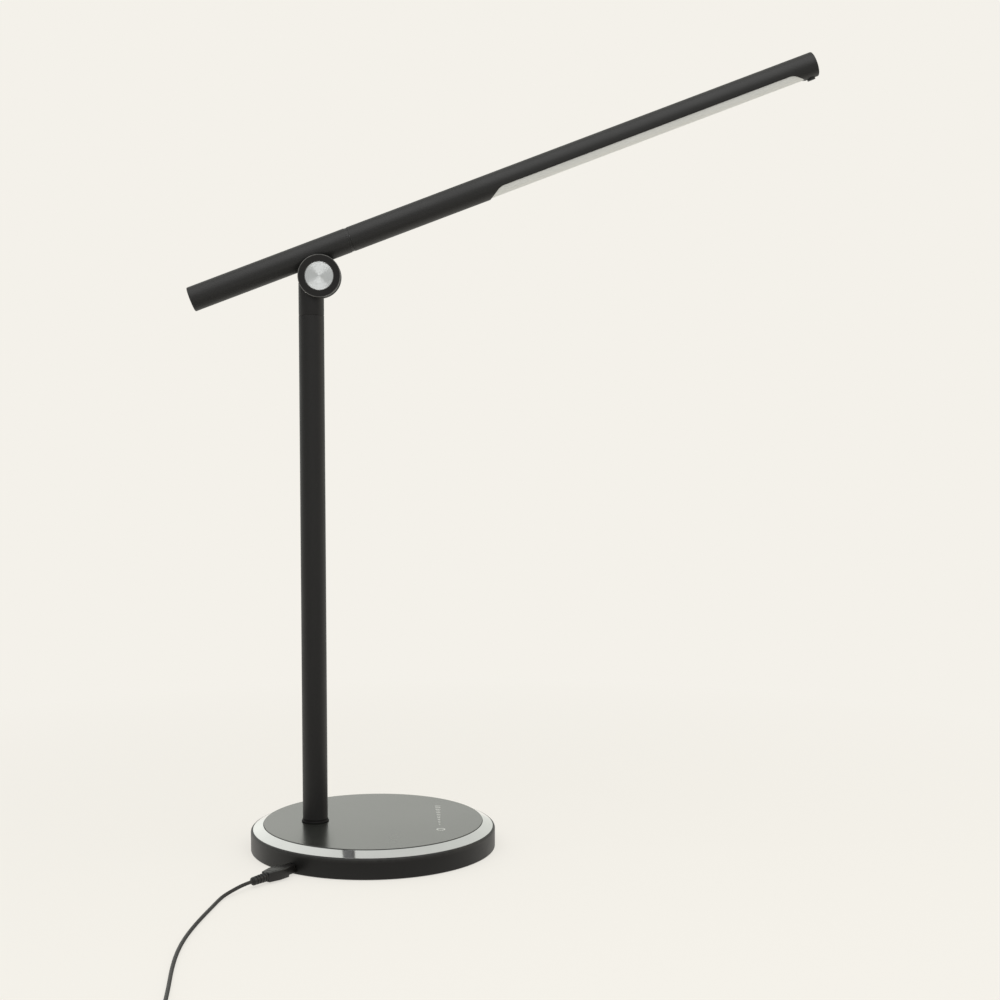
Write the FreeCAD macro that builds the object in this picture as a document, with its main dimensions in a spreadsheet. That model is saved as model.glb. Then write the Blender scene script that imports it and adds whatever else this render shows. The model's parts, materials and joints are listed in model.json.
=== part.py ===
"""LED desk lamp: round weighted base, tubular post, tilting arm and a head that rolls.

Frame: origin at the centre of the base's underside, +Z up, +X from the post towards the
lamp's tip, millimetres. The arm is stored at the tilt that it has in the photograph.
"""
import FreeCAD
import Part
import Sketcher
import math
import os
import re

Vector = FreeCAD.Vector

# Driving sizes: name, value in millimetres, degrees or a count, and what it is.
SIZES = [
    ("base_radius", 90.0, "outer radius of the base"),
    ("base_round", 1.65, "rounding of the base's upper edge"),
    ("base_chamfer", 0.5, "chamfer of the base's lower edge"),
    ("base_wall", 2.6, "wall of the base shell"),
    ("edge_lift", 0.3, "shell's lower edge above the table"),
    ("deck_top", 15.2, "height of the shell's deck"),
    ("deck_thick", 2.2, "thickness of the deck"),
    ("ring_span", 7.45, "width of the polished ring"),
    ("plate_thick", 4.2, "thickness of the touch plate"),
    ("plate_gap", 0.3, "shadow gap between plate and ring"),
    ("ring_lip", 0.1, "upright outer edge of the polished ring"),
    ("ring_rise", 3.7, "inner edge of the polished ring above the deck"),
    ("weight_margin", 8.4, "steel weight inside the shell's wall"),
    ("weight_thick", 8.0, "thickness of the steel weight"),
    ("weight_hole", 13.0, "radius of the weight's hole round the post nut"),
    ("cover_lift", 0.8, "underside of the bottom cover above the table"),
    ("cover_thick", 2.0, "thickness of the bottom cover"),
    ("cover_gap", 0.4, "gap between cover and shell wall"),
    ("pad_margin", 11.4, "anti-slip pad inside the shell's wall"),
    ("pad_sink", 0.4, "depth of the pad's seat in the cover"),
    ("boss_radius", 3.2, "radius of a screw boss"),
    ("boss_inset", 4.0, "screw axis from the shell's inner wall"),
    ("cover_screw_count", 4, "screws that hold the cover"),
    ("cover_screw_turn", 30.0, "direction of the first cover screw"),
    ("cover_screw_radius", 1.5, "shank radius of a cover screw"),
    ("cover_screw_length", 8.0, "length of a cover screw"),
    ("cover_head_radius", 2.8, "head radius of a cover screw"),
    ("cover_head_thick", 1.2, "height of a cover screw's countersunk head"),
    ("weight_screw_count", 3, "screws that hold the weight"),
    ("weight_screw_inset", 17.0, "weight screws inside the weight's edge"),
    ("weight_screw_turn", 20.0, "direction of the first weight screw"),
    ("weight_screw_radius", 2.0, "shank radius of a weight screw"),
    ("weight_head_radius", 3.6, "head radius of a weight screw"),
    ("weight_head_thick", 1.8, "head thickness of a weight screw"),
    ("thread_gap", 0.05, "radial gap of a screw or a press seat"),
    ("board_inset", 18.6, "control board behind the plate's front edge"),
    ("board_length", 40.0, "control board along X"),
    ("board_width", 80.0, "control board along Y"),
    ("board_thick", 1.2, "control board thickness"),
    ("board_gap", 0.3, "gap round the control board"),
    ("plug_turn", 128.5, "direction of the power plug, clockwise from +X"),
    ("plug_height", 4.5, "height of the plug's axis"),
    ("socket_width", 9.0, "width of the power socket"),
    ("socket_depth", 14.0, "depth of the power socket"),
    ("socket_gap", 0.35, "socket behind the shell's inner wall"),
    ("socket_room", 1.0, "room behind the plug's tip"),
    ("nose_radius", 2.9, "radius of the socket's nose in the wall"),
    ("nose_gap", 0.2, "gap round the socket's nose"),
    ("nose_sink", 0.4, "socket's nose behind the base's outer wall"),
    ("tip_radius", 1.25, "radius of the plug's metal tip"),
    ("tip_gap", 0.05, "gap between the plug's tip and the socket"),
    ("tip_length", 9.5, "length of the plug's metal tip"),
    ("plug_gap", 0.4, "plug's face in front of the base wall"),
    ("plug_nose_length", 9.0, "narrow front of the plug's moulding"),
    ("plug_nose_width", 7.4, "width of that front"),
    ("plug_nose_tall", 6.0, "height of that front"),
    ("plug_grip_length", 18.0, "wide grip of the plug's moulding"),
    ("plug_grip_width", 11.2, "width of the grip"),
    ("plug_grip_tall", 6.6, "height of the grip"),
    ("plug_round", 1.2, "rounding of the plug's edges"),
    ("plug_shoulder", 9.0, "length over which the grip widens behind the relief"),
    ("relief_length", 13.8, "ribbed strain relief"),
    ("relief_start", 3.0, "radius of the relief at the plug"),
    ("relief_finish", 2.7, "radius of the relief at the cord"),
    ("relief_groove", 0.6, "depth between the ribs"),
    ("relief_ribs", 5, "ribs of the relief"),
    ("cord_radius", 1.25, "radius of the cord"),
    ("post_setback", 42.8, "post axis behind the base's centre"),
    ("post_radius", 9.2, "outer radius of the post tube"),
    ("post_wall", 1.2, "wall of the post tube"),
    ("neck_drop", 28.0, "seam between post and neck below the hinge axis"),
    ("collar_flare", 0.9, "foot collar beyond the post"),
    ("collar_thick", 2.4, "height of the foot collar"),
    ("collar_lift", 0.2, "foot collar above the touch plate"),
    ("spindle_radius", 5.0, "radius of the swivel spindle"),
    ("spindle_bore", 1.8, "wire bore of the spindle"),
    ("spindle_gap", 0.06, "running gap of the spindle in its bush"),
    ("spindle_end", 4.6, "height of the spindle's lower end"),
    ("seat_length", 26.0, "length that foot and neck reach into the post"),
    ("bush_radius", 7.0, "radius of the bush in the deck"),
    ("bush_flange", 8.4, "radius of the bush's flange"),
    ("run_gap", 0.05, "axial running gap"),
    ("washer_thick", 1.4, "thickness of the spring washer"),
    ("nut_thick", 5.5, "thickness of the post nut"),
    ("nut_radius", 9.2, "corner radius of the post nut"),
    ("wire_radius", 1.5, "radius of the inner wires"),
    ("neck_seam", 0.4, "chamfer of the neck at its seam with the post"),
    ("hinge_height", 419.0, "height of the hinge axis"),
    ("barrel_radius", 15.4, "radius of the hinge barrel"),
    ("barrel_half", 13.0, "half length of the hinge barrel"),
    ("barrel_chamfer", 0.35, "thin chamfer of the barrel's edges"),
    ("barrel_gap", 0.2, "gap between barrel and neck"),
    ("horn_drop", 4.5, "neck's upper edge below the hinge axis"),
    ("slot_half", 5.2, "half width of the barrel's slot"),
    ("slot_rise", 5.7, "top of the slot above the hinge axis"),
    ("tongue_half", 4.4, "half thickness of the neck's tongue"),
    ("tongue_root", 1.5, "tongue's root below the barrel's space"),
    ("eye_radius", 5.2, "radius of the tongue's eye"),
    ("washer_rim", 0.3, "friction washers inside the eye's edge"),
    ("pin_radius", 2.5, "radius of the hinge pin"),
    ("pin_head", 4.6, "radius of the pin's head"),
    ("pin_head_thick", 2.4, "thickness of the pin's head and nut"),
    ("disc_radius", 10.2, "radius of the spun metal disc"),
    ("disc_thick", 1.2, "thickness of the disc"),
    ("disc_sink", 0.3, "disc's face behind the barrel's face"),
    ("disc_gap", 0.1, "gap round the disc"),
    ("disc_chamfer", 0.3, "chamfer of the disc's edge"),
    ("arm_tilt", 20.8, "tilt of the arm above level"),
    ("arm_offset", 17.1, "arm axis above the hinge axis, square to the arm"),
    ("arm_radius", 9.1, "outer radius of the arm tubes"),
    ("arm_wall", 1.2, "wall of the arm tubes"),
    ("rear_reach", 92.4, "rear end behind the hinge"),
    ("rear_cap_thick", 2.0, "visible thickness of the rear cap"),
    ("rear_cap_chamfer", 0.9, "chamfer of the rear cap"),
    ("cap_seat", 8.0, "length that the rear cap reaches into its tube"),
    ("saddle_screw_reach", 8.5, "saddle screws before and behind the hinge"),
    ("saddle_screw_radius", 1.5, "shank radius of a saddle screw"),
    ("saddle_head_radius", 2.6, "head radius of a saddle screw"),
    ("saddle_head_thick", 1.4, "head thickness of a saddle screw"),
    ("saddle_plate_length", 30.0, "nut plate inside the tube"),
    ("saddle_plate_thick", 3.0, "thickness of the nut plate"),
    ("saddle_plate_width", 11.0, "width of the nut plate"),
    ("seam_at", 29.5, "roll seam ahead of the hinge"),
    ("ring_width", 2.0, "width of the ring in the roll seam"),
    ("ring_inset", 0.25, "roll ring below the tube's surface"),
    ("seam_gap", 0.15, "gap on each side of the roll ring"),
    ("spigot_seat", 12.0, "length that the roll spigot reaches into the rear tube"),
    ("shoulder_radius", 6.5, "shoulder of the roll spigot"),
    ("shank_radius", 5.0, "radius of the roll spigot's shank"),
    ("shank_bore", 1.8, "wire bore of the roll spigot"),
    ("head_bush_start", 3.0, "head bush ahead of the seam"),
    ("head_bush_length", 9.0, "length of the head bush"),
    ("roll_washer_thick", 1.0, "thickness of the roll washer"),
    ("roll_nut_thick", 4.0, "thickness of the roll nut"),
    ("roll_nut_radius", 7.2, "corner radius of the roll nut"),
    ("tip_at", 391.7, "tip of the head ahead of the hinge"),
    ("head_cap_thick", 2.0, "visible thickness of the head cap"),
    ("head_cap_round", 0.8, "rounding of the head cap's edge"),
    ("head_cap_seat", 6.0, "length that the head cap reaches into its tube"),
    ("window_start", 135.2, "window's rear end at the tube's underside"),
    ("window_end", 381.7, "window's front end at the tube's underside"),
    ("window_corner", 10.0, "rounding between the window's long edge and its ends"),
    ("window_drop", 3.0, "window's long edge below the tube's axis"),
    ("window_ramp", 32.0, "slope of the window's ends"),
    ("diffuser_wall", 1.2, "wall of the diffuser"),
    ("diffuser_sink", 0.8, "diffuser's face inside the tube's surface"),
    ("diffuser_lap", 1.4, "diffuser above the window's long edge"),
    ("diffuser_tuck", 4.0, "diffuser under the tube beyond the window"),
    ("inner_gap", 0.1, "radial gap of pieces inside the head tube"),
    ("carrier_rear", 128.0, "rear end of the metal strip carrier"),
    ("carrier_level", 1.0, "carrier's flat above the tube's axis"),
    ("led_board_width", 11.0, "width of the light board"),
    ("led_board_thick", 1.2, "thickness of the light board"),
    ("led_margin", 8.0, "light board inside the carrier's ends"),
    ("led_count", 24, "light chips"),
    ("led_length", 3.5, "length of a light chip"),
    ("led_width", 2.8, "width of a light chip"),
    ("led_thick", 0.7, "thickness of a light chip"),
    ("button_back", 5.97, "button's axis behind the tip"),
    ("button_radius", 3.0, "radius of the push button"),
    ("button_flange", 3.3, "radius of the flange that keeps the button in"),
    ("button_stem", 1.5, "radius of the stem that meets the switch"),
    ("button_chamfer", 0.3, "chamfer of the button's face"),
    ("flange_level", 7.05, "flange's lower face below the tube's axis"),
    ("button_flange_thick", 0.6, "thickness of that flange"),
    ("button_out", 1.2, "button proud of the tube"),
    ("button_travel", 0.8, "travel of the button"),
    ("button_gap", 0.15, "gap round the button"),
    ("switch_size", 5.0, "side of the push switch"),
    ("switch_tall", 3.6, "height of the push switch"),
    ("switch_level", 5.0, "switch's lower face below the tube's axis"),
    ("coil_radius", 21.5, "outermost turn of the put-away cord"),
    ("coil_pitch", 3.05, "step from turn to turn"),
    ("coil_layer", 2.95, "step from layer to layer"),
    ("coil_turns", 4.875, "turns of each layer"),
    ("coil_aside", -9.228, "centre of the coil from the strain relief's end along X"),
    ("coil_ahead", -258.325, "centre of the coil from the strain relief's end along Y"),
    ("tail_length", 10.5, "straight cord between the coil and the far plug"),
    ("tie_thick", 0.4, "thickness of the cord tie"),
    ("tie_width", 6.0, "width of the cord tie"),
    ("tie_gap", 0.05, "gap between tie and cord"),
    ("usb_relief_length", 9.0, "relief of the far plug"),
    ("usb_relief_radius", 2.6, "radius of that relief"),
    ("usb_body_length", 21.0, "moulding of the far plug"),
    ("usb_body_width", 15.4, "width of that moulding"),
    ("usb_round", 2.0, "rounding of that moulding"),
    ("usb_shell_length", 12.0, "metal shell of the far plug"),
    ("usb_shell_width", 12.0, "width of the metal shell"),
    ("usb_shell_tall", 4.5, "height of the metal shell"),
    ("usb_shell_wall", 0.4, "wall of the metal shell"),
    ("usb_tongue_tall", 1.9, "contact tongue in the shell"),
]

# Points of the free cord, chosen by hand: X and Y from the strain relief's end, Z above the table.
LEAD_ROUTE = [
    (-4.4, -5.5, 4.5),
    (-10.3, -13.2, 3.5),
    (-16.2, -20.9, 2.0),
    (-19.3, -29.0, 1.3),
    (-21.9, -42.0, 1.25),
    (-25.9, -61.8, 1.25),
    (-29.9, -83.8, 1.25),
    (-33.3, -109.3, 1.25),
    (-34.7, -135.8, 1.25),
    (-34.1, -164.3, 1.25),
    (-32.2, -194.3, 1.3),
    (-30.7, -225.3, 1.7),
]

doc = FreeCAD.newDocument("DeskLamp")
sheet = doc.addObject("Spreadsheet::Sheet", "Sizes")
for row, (alias, number, note) in enumerate(SIZES, start=1):
    sheet.set(f"A{row}", note)
    sheet.set(f"B{row}", str(number))
    sheet.setAlias(f"B{row}", alias)
doc.recompute()
ALIASES = {alias for alias, number, note in SIZES}

# Sizes that several pieces share, as expressions of the driving sizes.
PLATE_TOP = "(deck_top + plate_thick)"
DECK_UNDER = "(deck_top - deck_thick)"
COVER_TOP = "(cover_lift + cover_thick)"
WALL_INNER = "(base_radius - base_wall)"
RING_OUTER = "(base_radius - base_round)"
RING_INNER = "(base_radius - base_round - ring_span)"
PLATE_RADIUS = "(base_radius - base_round - ring_span - plate_gap)"
BOARD_FRONT = "(base_radius - base_round - ring_span - plate_gap - board_inset)"
WEIGHT_RADIUS = "(base_radius - base_wall - weight_margin)"
PAD_RADIUS = "(base_radius - base_wall - pad_margin)"
WEIGHT_SCREW_CIRCLE = "(base_radius - base_wall - weight_margin - weight_screw_inset)"
SCREW_CIRCLE = "(base_radius - base_wall - boss_inset)"
POST_INNER = "(post_radius - post_wall)"
COLLAR_UNDER = "(deck_top + plate_thick + collar_lift)"
COLLAR_TOP = "(deck_top + plate_thick + collar_lift + collar_thick)"
POST_TOP = "(hinge_height - neck_drop)"
HINGE_X = "(barrel_radius - post_radius - post_setback)"
DISC_SEAT = "(barrel_half - disc_sink - disc_thick)"
PIN_SEAT = "(barrel_half - disc_sink - disc_thick - pin_head_thick)"
ARM_INNER = "(arm_radius - arm_wall)"
HEAD_START = "(seam_at + ring_width / 2 + seam_gap)"
REAR_FINISH = "(seam_at - ring_width / 2 - seam_gap)"
BUSH_FINISH = "(seam_at + head_bush_start + head_bush_length)"
CAP_BACK = "(tip_at - head_cap_thick)"
CAP_SEAT_END = "(tip_at - head_cap_thick - head_cap_seat)"
BUTTON_AT = "(tip_at - button_back)"
DIFFUSER_RADIUS = "(arm_radius - arm_wall - inner_gap)"
DIFFUSER_TOP = "(diffuser_lap - window_drop)"
DIFFUSER_START = "(window_start - diffuser_tuck)"
DIFFUSER_END = "(tip_at - button_back - button_flange - 2 * button_gap)"
STRIP_START = "(carrier_rear + led_margin)"
STRIP_END = f"({DIFFUSER_END} - led_margin)"
SOCKET_FRONT = "(base_radius - base_wall - socket_gap)"
PLUG_FACE = "(base_radius + plug_gap)"
GRIP_START = "(base_radius + plug_gap + plug_nose_length)"
GRIP_END = "(base_radius + plug_gap + plug_nose_length + plug_grip_length)"
RELIEF_END = "(base_radius + plug_gap + plug_nose_length + plug_grip_length + relief_length)"
COIL_X = f"({RELIEF_END} * cos(plug_turn) + coil_aside)"
COIL_Y = f"(coil_ahead - {RELIEF_END} * sin(plug_turn))"
TAIL_LEVEL = "(tie_thick + tie_gap + cord_radius + coil_layer)"
TAIL_X = f"({COIL_X} + tail_length)"
TAIL_Y = f"({COIL_Y} - coil_radius)"
USB_BODY_X = f"({TAIL_X} + usb_relief_length)"
USB_SHELL_X = f"({TAIL_X} + usb_relief_length + usb_body_length)"


def size(alias):
    """Number that the sheet holds for a driving size."""
    return float(getattr(sheet, alias))


def value(text):
    """Number that an expression of the driving sizes gives."""
    return float(sheet.evalExpression(text))


def bound(text):
    """Expression with the sheet's name put before each driving size."""
    return re.sub(r"[a-z_]+", lambda word: f"Sizes.{word[0]}" if word[0] in ALIASES else word[0], text)


def tie(thing, **expressions):
    """Bind properties of an object to expressions of the sheet."""
    for name, text in expressions.items():
        thing.setExpression(name.replace("__", "."), bound(text))
    return thing


def move(thing, x="0", y="0", z="0"):
    """Place an object, unturned, at a point given by expressions."""
    return tie(thing, Placement__Base__x=x, Placement__Base__y=y, Placement__Base__z=z)


def turn(thing, axis, angle, x="0", y="0", z="0"):
    """Place an object turned about an axis by an angle expression in degrees."""
    thing.Placement = FreeCAD.Placement(Vector(0, 0, 0), FreeCAD.Rotation(axis, 1))
    tie(thing, Placement__Rotation__Angle=f"({angle}) * 1 deg")
    return move(thing, x, y, z)


def at_post(thing):
    """Place a piece that was drawn round its own Z axis on the post's axis."""
    return move(thing, x="-post_setback")


def at_hinge(thing):
    """Place a piece that was drawn round the hinge axis with X along the arm."""
    return turn(thing, Vector(0, -1, 0), "arm_tilt", HINGE_X, "0", "hinge_height")


def at_arm(thing, along="0"):
    """Place a piece that was drawn along the arm tube, its origin above the hinge or ahead of it."""
    return turn(
        thing, Vector(0, -1, 0), "arm_tilt",
        f"{HINGE_X} - arm_offset * sin(arm_tilt) + ({along}) * cos(arm_tilt)", "0",
        f"hinge_height + arm_offset * cos(arm_tilt) + ({along}) * sin(arm_tilt)",
    )


def at_plug(thing):
    """Place a piece that was drawn along +X from the base's centre in the plug's direction."""
    return turn(thing, Vector(0, 0, -1), "plug_turn", z="plug_height")


def sketch_on(body, role, name):
    """New sketch on one of a body's own origin planes."""
    plane = next(item for item in body.Origin.OriginFeatures if item.Role == role)
    sketch = body.newObject("Sketcher::SketchObject", name)
    sketch.AttachmentSupport = (plane, [""])
    sketch.MapMode = "FlatFace"
    return sketch


def pin_point(sketch, geometry, end, across, along):
    """Tie one end of a sketch line to a point given by two expressions."""
    for kind, text in (("DistanceX", across), ("DistanceY", along)):
        number = sketch.addConstraint(Sketcher.Constraint(kind, -1, 1, geometry, end, 1.0))
        sketch.setExpression(f"Constraints[{number}]", bound(text))


def outline(sketch, corners):
    """Closed outline of straight lines through corners given as pairs of expressions."""
    count = len(corners)
    spots = [Vector(index, index * index, 0) for index in range(count)]
    for index in range(count):
        sketch.addGeometry(Part.LineSegment(spots[index], spots[(index + 1) % count]), False)
    for index in range(count):
        sketch.addConstraint(Sketcher.Constraint("Coincident", index, 2, (index + 1) % count, 1))
    for index, (across, along) in enumerate(corners):
        pin_point(sketch, index, 1, across, along)


TURNED = {"Z": ("XZ_Plane", "V_Axis"), "X": ("XZ_Plane", "H_Axis"), "Y": ("XY_Plane", "V_Axis")}


def turned(label, corners, about="Z"):
    """Body turned about an axis from a profile: (radius, z), (x, radius) or (radius, y)."""
    role, axis = TURNED[about]
    body = doc.addObject("PartDesign::Body", label)
    sketch = sketch_on(body, role, label + "_profile")
    outline(sketch, corners)
    revolution = body.newObject("PartDesign::Revolution", label + "_turning")
    revolution.Profile = sketch
    revolution.ReferenceAxis = (sketch, [axis])
    revolution.Angle = 360
    return body


def ring(label, inner, outer, low, high, about="Z"):
    """Turned ring or sleeve between two radii and two places along its axis."""
    corners = [(inner, low), (outer, low), (outer, high), (inner, high)]
    if about == "X":
        corners = [(along, radius) for radius, along in corners]
    return turned(label, corners, about)


def rounded(body, feature, amount, chosen):
    """Fillet or chamfer the edges of a body that a test picks out."""
    doc.recompute()
    tip = body.Tip
    edges = [f"Edge{number}" for number, edge in enumerate(tip.Shape.Edges, start=1) if chosen(edge)]
    if not edges:
        raise RuntimeError(f"no edge to round on {body.Label}")
    finish = body.newObject(f"PartDesign::{feature}", body.Name + "_edges")
    finish.Base = (tip, edges)
    tie(finish, **{"Radius" if feature == "Fillet" else "Size": amount})
    body.Tip = finish
    return body


def is_circle(edge, radius):
    """True for a circular edge of a given radius."""
    return hasattr(edge.Curve, "Radius") and abs(edge.Curve.Radius - radius) < 1e-4


def cylinder(name, radius, height, x="0", y="0", z="0"):
    """Upright cylinder that stands on a point."""
    rod = doc.addObject("Part::Cylinder", name)
    tie(rod, Radius=radius, Height=height)
    return move(rod, x, y, z)


def rod(name, radius, start, finish, about="X"):
    """Plain rod about X or Y between two places on that axis."""
    corners = [("0", start), (radius, start), (radius, finish), ("0", finish)]
    if about == "X":
        corners = [(along, across) for across, along in corners]
    return turned(name, corners, about)


def block(name, length, width, height, x, y, z):
    """Box with one corner at a point, its sides along the axes."""
    box = doc.addObject("Part::Box", name)
    tie(box, Length=length, Width=width, Height=height)
    return move(box, x, y, z)


def joined(name, pieces):
    """Union of several forms."""
    union = doc.addObject("Part::MultiFuse", name)
    union.Shapes = pieces
    return union


def cut(label, base, tools):
    """A form with one or more tools taken away."""
    result = doc.addObject("Part::Cut", label)
    result.Base = base
    result.Tool = tools[0] if len(tools) == 1 else joined(label + "_tools", tools)
    return result


def common(label, base, tool):
    """What two forms share."""
    result = doc.addObject("Part::Common", label)
    result.Base = base
    result.Tool = tool
    return result


def group(label, pieces):
    """Separate solids that share one node."""
    compound = doc.addObject("Part::Compound", label)
    compound.Links = pieces
    return compound


def on_circle(count, radius, first):
    """Pairs of expressions for places evenly spaced on a circle from a first direction."""
    angles = [f"({first} + 360 * {index} / {count})" for index in range(int(size(count)))]
    return [(f"{radius} * cos({angle})", f"{radius} * sin({angle})") for angle in angles]


NUT_TURNS = {"X": (Vector(0, 1, 0), "x"), "Y": (Vector(-1, 0, 0), "y")}


def hexagon_nut(label, corner, bore, low, high, about="Z"):
    """Six-sided nut round an axis between two places on it."""
    prism = doc.addObject("Part::Prism", label + "_form")
    prism.Polygon = 6
    tie(prism, Circumradius=corner, Height=f"{high} - {low}")
    if about == "Z":
        move(prism, z=low)
        hole = cylinder(label + "_bore", bore, f"{high} - {low}", z=low)
    else:
        axis, places = NUT_TURNS[about]
        turn(prism, axis, "90", **{places: low})
        hole = rod(label + "_bore", bore, low, high, about)
    return cut(label, prism, [hole])


def prism(label, corners, width):
    """Plate of a given width across Y from an outline of (x, z) corners."""
    body = doc.addObject("PartDesign::Body", label)
    sketch = sketch_on(body, "XZ_Plane", label + "_outline")
    outline(sketch, corners)
    pad = body.newObject("PartDesign::Pad", label + "_pad")
    pad.Profile = sketch
    pad.Midplane = True
    tie(pad, Length=width)
    return body


def slab(label, start, finish, low, high, width):
    """Box between two places along X and two heights, centred across Y."""
    return prism(label, [(start, low), (finish, low), (finish, high), (start, high)], width)


def moulding(label, corners, tall, edge_round):
    """Moulded form padded up and down from an outline of (x, y) corners, all edges rounded."""
    body = doc.addObject("PartDesign::Body", label)
    sketch = sketch_on(body, "XY_Plane", label + "_outline")
    outline(sketch, corners)
    pad = body.newObject("PartDesign::Pad", label + "_pad")
    pad.Profile = sketch
    pad.Midplane = True
    tie(pad, Length=tall)
    return rounded(body, "Fillet", edge_round, lambda edge: True)


def bar(label, width, tall, length, edge_round):
    """Moulded bar along X from the origin with all its edges rounded."""
    left, right = f"-{width} / 2", f"{width} / 2"
    corners = [("0", left), (length, left), (length, right), ("0", right)]
    return moulding(label, corners, tall, edge_round)


def cover_screw_places():
    """Places of the cover's screws, clear of the plug's socket."""
    return on_circle("cover_screw_count", SCREW_CIRCLE, "cover_screw_turn")


def weight_screw_places():
    """Places of the weight's screws."""
    return on_circle("weight_screw_count", WEIGHT_SCREW_CIRCLE, "weight_screw_turn")


def make_base_shell():
    """Cup open downwards with a deck, screw bosses, a spindle hole and a hole for the socket."""
    form = turned("shell_form", [
        ("0", DECK_UNDER), (WALL_INNER, DECK_UNDER), (WALL_INNER, "edge_lift"),
        ("base_radius - base_chamfer", "edge_lift"), ("base_radius", "edge_lift + base_chamfer"),
        ("base_radius", "deck_top"), ("0", "deck_top"),
    ])
    rounded(form, "Fillet", "base_round", lambda edge: is_circle(edge, size("base_radius"))
            and edge.CenterOfMass.z > size("deck_top") - 0.01)
    bosses = []
    holes = []
    for number, (x, y) in enumerate(cover_screw_places()):
        bosses.append(cylinder(f"boss_{number}", "boss_radius", f"{DECK_UNDER} - {COVER_TOP}",
                               x=x, y=y, z=COVER_TOP))
        holes.append(cylinder(f"boss_hole_{number}", "cover_screw_radius + thread_gap",
                              "cover_screw_length", x=x, y=y, z=COVER_TOP))
    for number, (x, y) in enumerate(weight_screw_places()):
        holes.append(cylinder(f"deck_hole_{number}", "weight_screw_radius + thread_gap",
                              "deck_thick", x=x, y=y, z=DECK_UNDER))
    holes.append(cylinder("deck_spindle_hole", "bush_radius + thread_gap", "deck_thick",
                          x="-post_setback", z=DECK_UNDER))
    holes.append(at_plug(rod("socket_hole", "nose_radius + nose_gap",
                             SOCKET_FRONT, PLUG_FACE)))
    return cut("base_shell", joined("shell_union", [form] + bosses), holes)


def make_trim_ring():
    """Polished ring that slopes from the shell's edge up to just below the touch plate's edge."""
    return turned("trim_ring", [
        (RING_INNER, "deck_top"), (RING_OUTER, "deck_top"),
        (RING_OUTER, "deck_top + ring_lip"), (RING_INNER, "deck_top + ring_rise"),
    ])


def make_top_plate():
    """Round touch plate with a pocket for the control board and a hole for the post."""
    disc = ring("plate_form", "0", PLATE_RADIUS, "deck_top", PLATE_TOP)
    pocket = block("plate_pocket", "board_length + 2 * board_gap", "board_width + 2 * board_gap",
                   "board_thick + board_gap", f"{BOARD_FRONT} - board_length - board_gap",
                   "-board_width / 2 - board_gap", "deck_top")
    hole = cylinder("plate_hole", "bush_flange + plate_gap", "plate_thick", x="-post_setback", z="deck_top")
    return cut("top_plate", disc, [pocket, hole])


def make_control_board():
    """Touch and dimmer board under the plate."""
    return block("control_board", "board_length", "board_width", "board_thick",
                 f"{BOARD_FRONT} - board_length", "-board_width / 2", "deck_top")


def make_base_weight():
    """Steel disc under the deck, cut away round the post nut, the socket and its screws."""
    disc = ring("weight_form", "0", WEIGHT_RADIUS, f"{DECK_UNDER} - weight_thick", DECK_UNDER)
    tools = [cylinder("weight_nut_hole", "weight_hole", "weight_thick", x="-post_setback",
                      z=f"{DECK_UNDER} - weight_thick")]
    for number, (x, y) in enumerate(weight_screw_places()):
        tools.append(cylinder(f"weight_screw_hole_{number}", "weight_screw_radius + thread_gap",
                              "weight_thick", x=x, y=y, z=f"{DECK_UNDER} - weight_thick"))
    tools.append(at_plug(slab("socket_notch", f"{SOCKET_FRONT} - socket_depth - cover_gap", "base_radius",
                              "-deck_top", "deck_top", "socket_width + 2 * cover_gap")))
    return cut("base_weight", disc, tools)


def make_weight_screws():
    """Screws that hold the weight against the deck."""
    low = f"({DECK_UNDER} - weight_thick)"
    screws = []
    for number, (x, y) in enumerate(weight_screw_places()):
        screw = turned(f"weight_screw_{number}", [
            ("0", f"{low} - weight_head_thick"), ("weight_head_radius", f"{low} - weight_head_thick"),
            ("weight_head_radius", low), ("weight_screw_radius", low),
            ("weight_screw_radius", "deck_top - thread_gap"), ("0", "deck_top - thread_gap"),
        ])
        screws.append(move(screw, x, y))
    return group("weight_screws", screws)


def make_bottom_cover():
    """Cover plate with a shallow seat for the pad and countersunk screw holes."""
    disc = turned("cover_form", [
        ("0", "cover_lift + pad_sink"), (f"{PAD_RADIUS} + thread_gap", "cover_lift + pad_sink"),
        (f"{PAD_RADIUS} + thread_gap", "cover_lift"), (f"{WALL_INNER} - cover_gap", "cover_lift"),
        (f"{WALL_INNER} - cover_gap", COVER_TOP), ("0", COVER_TOP),
    ])
    holes = [move(screw_form(f"cover_hole_{number}", "thread_gap"), x, y)
             for number, (x, y) in enumerate(cover_screw_places())]
    return cut("bottom_cover", disc, holes)


def screw_form(name, gap):
    """Countersunk screw, or with a gap the hole that it sits in."""
    head = f"(cover_head_radius + {gap})"
    shank = f"(cover_screw_radius + {gap})"
    flare = "(cover_lift + cover_head_thick)"
    finish = f"({COVER_TOP} + cover_screw_length - thread_gap)"
    return turned(name, [("0", "cover_lift"), (head, "cover_lift"), (shank, flare),
                         (shank, finish), ("0", finish)])


def make_cover_screws():
    """Screws that hold the bottom cover on the shell's bosses."""
    return group("cover_screws", [move(screw_form(f"cover_screw_{number}", "0"), x, y)
                                  for number, (x, y) in enumerate(cover_screw_places())])


def make_anti_slip_pad():
    """Pad that the lamp stands on."""
    return ring("anti_slip_pad", "0", PAD_RADIUS, "0", "cover_lift + pad_sink")


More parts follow.
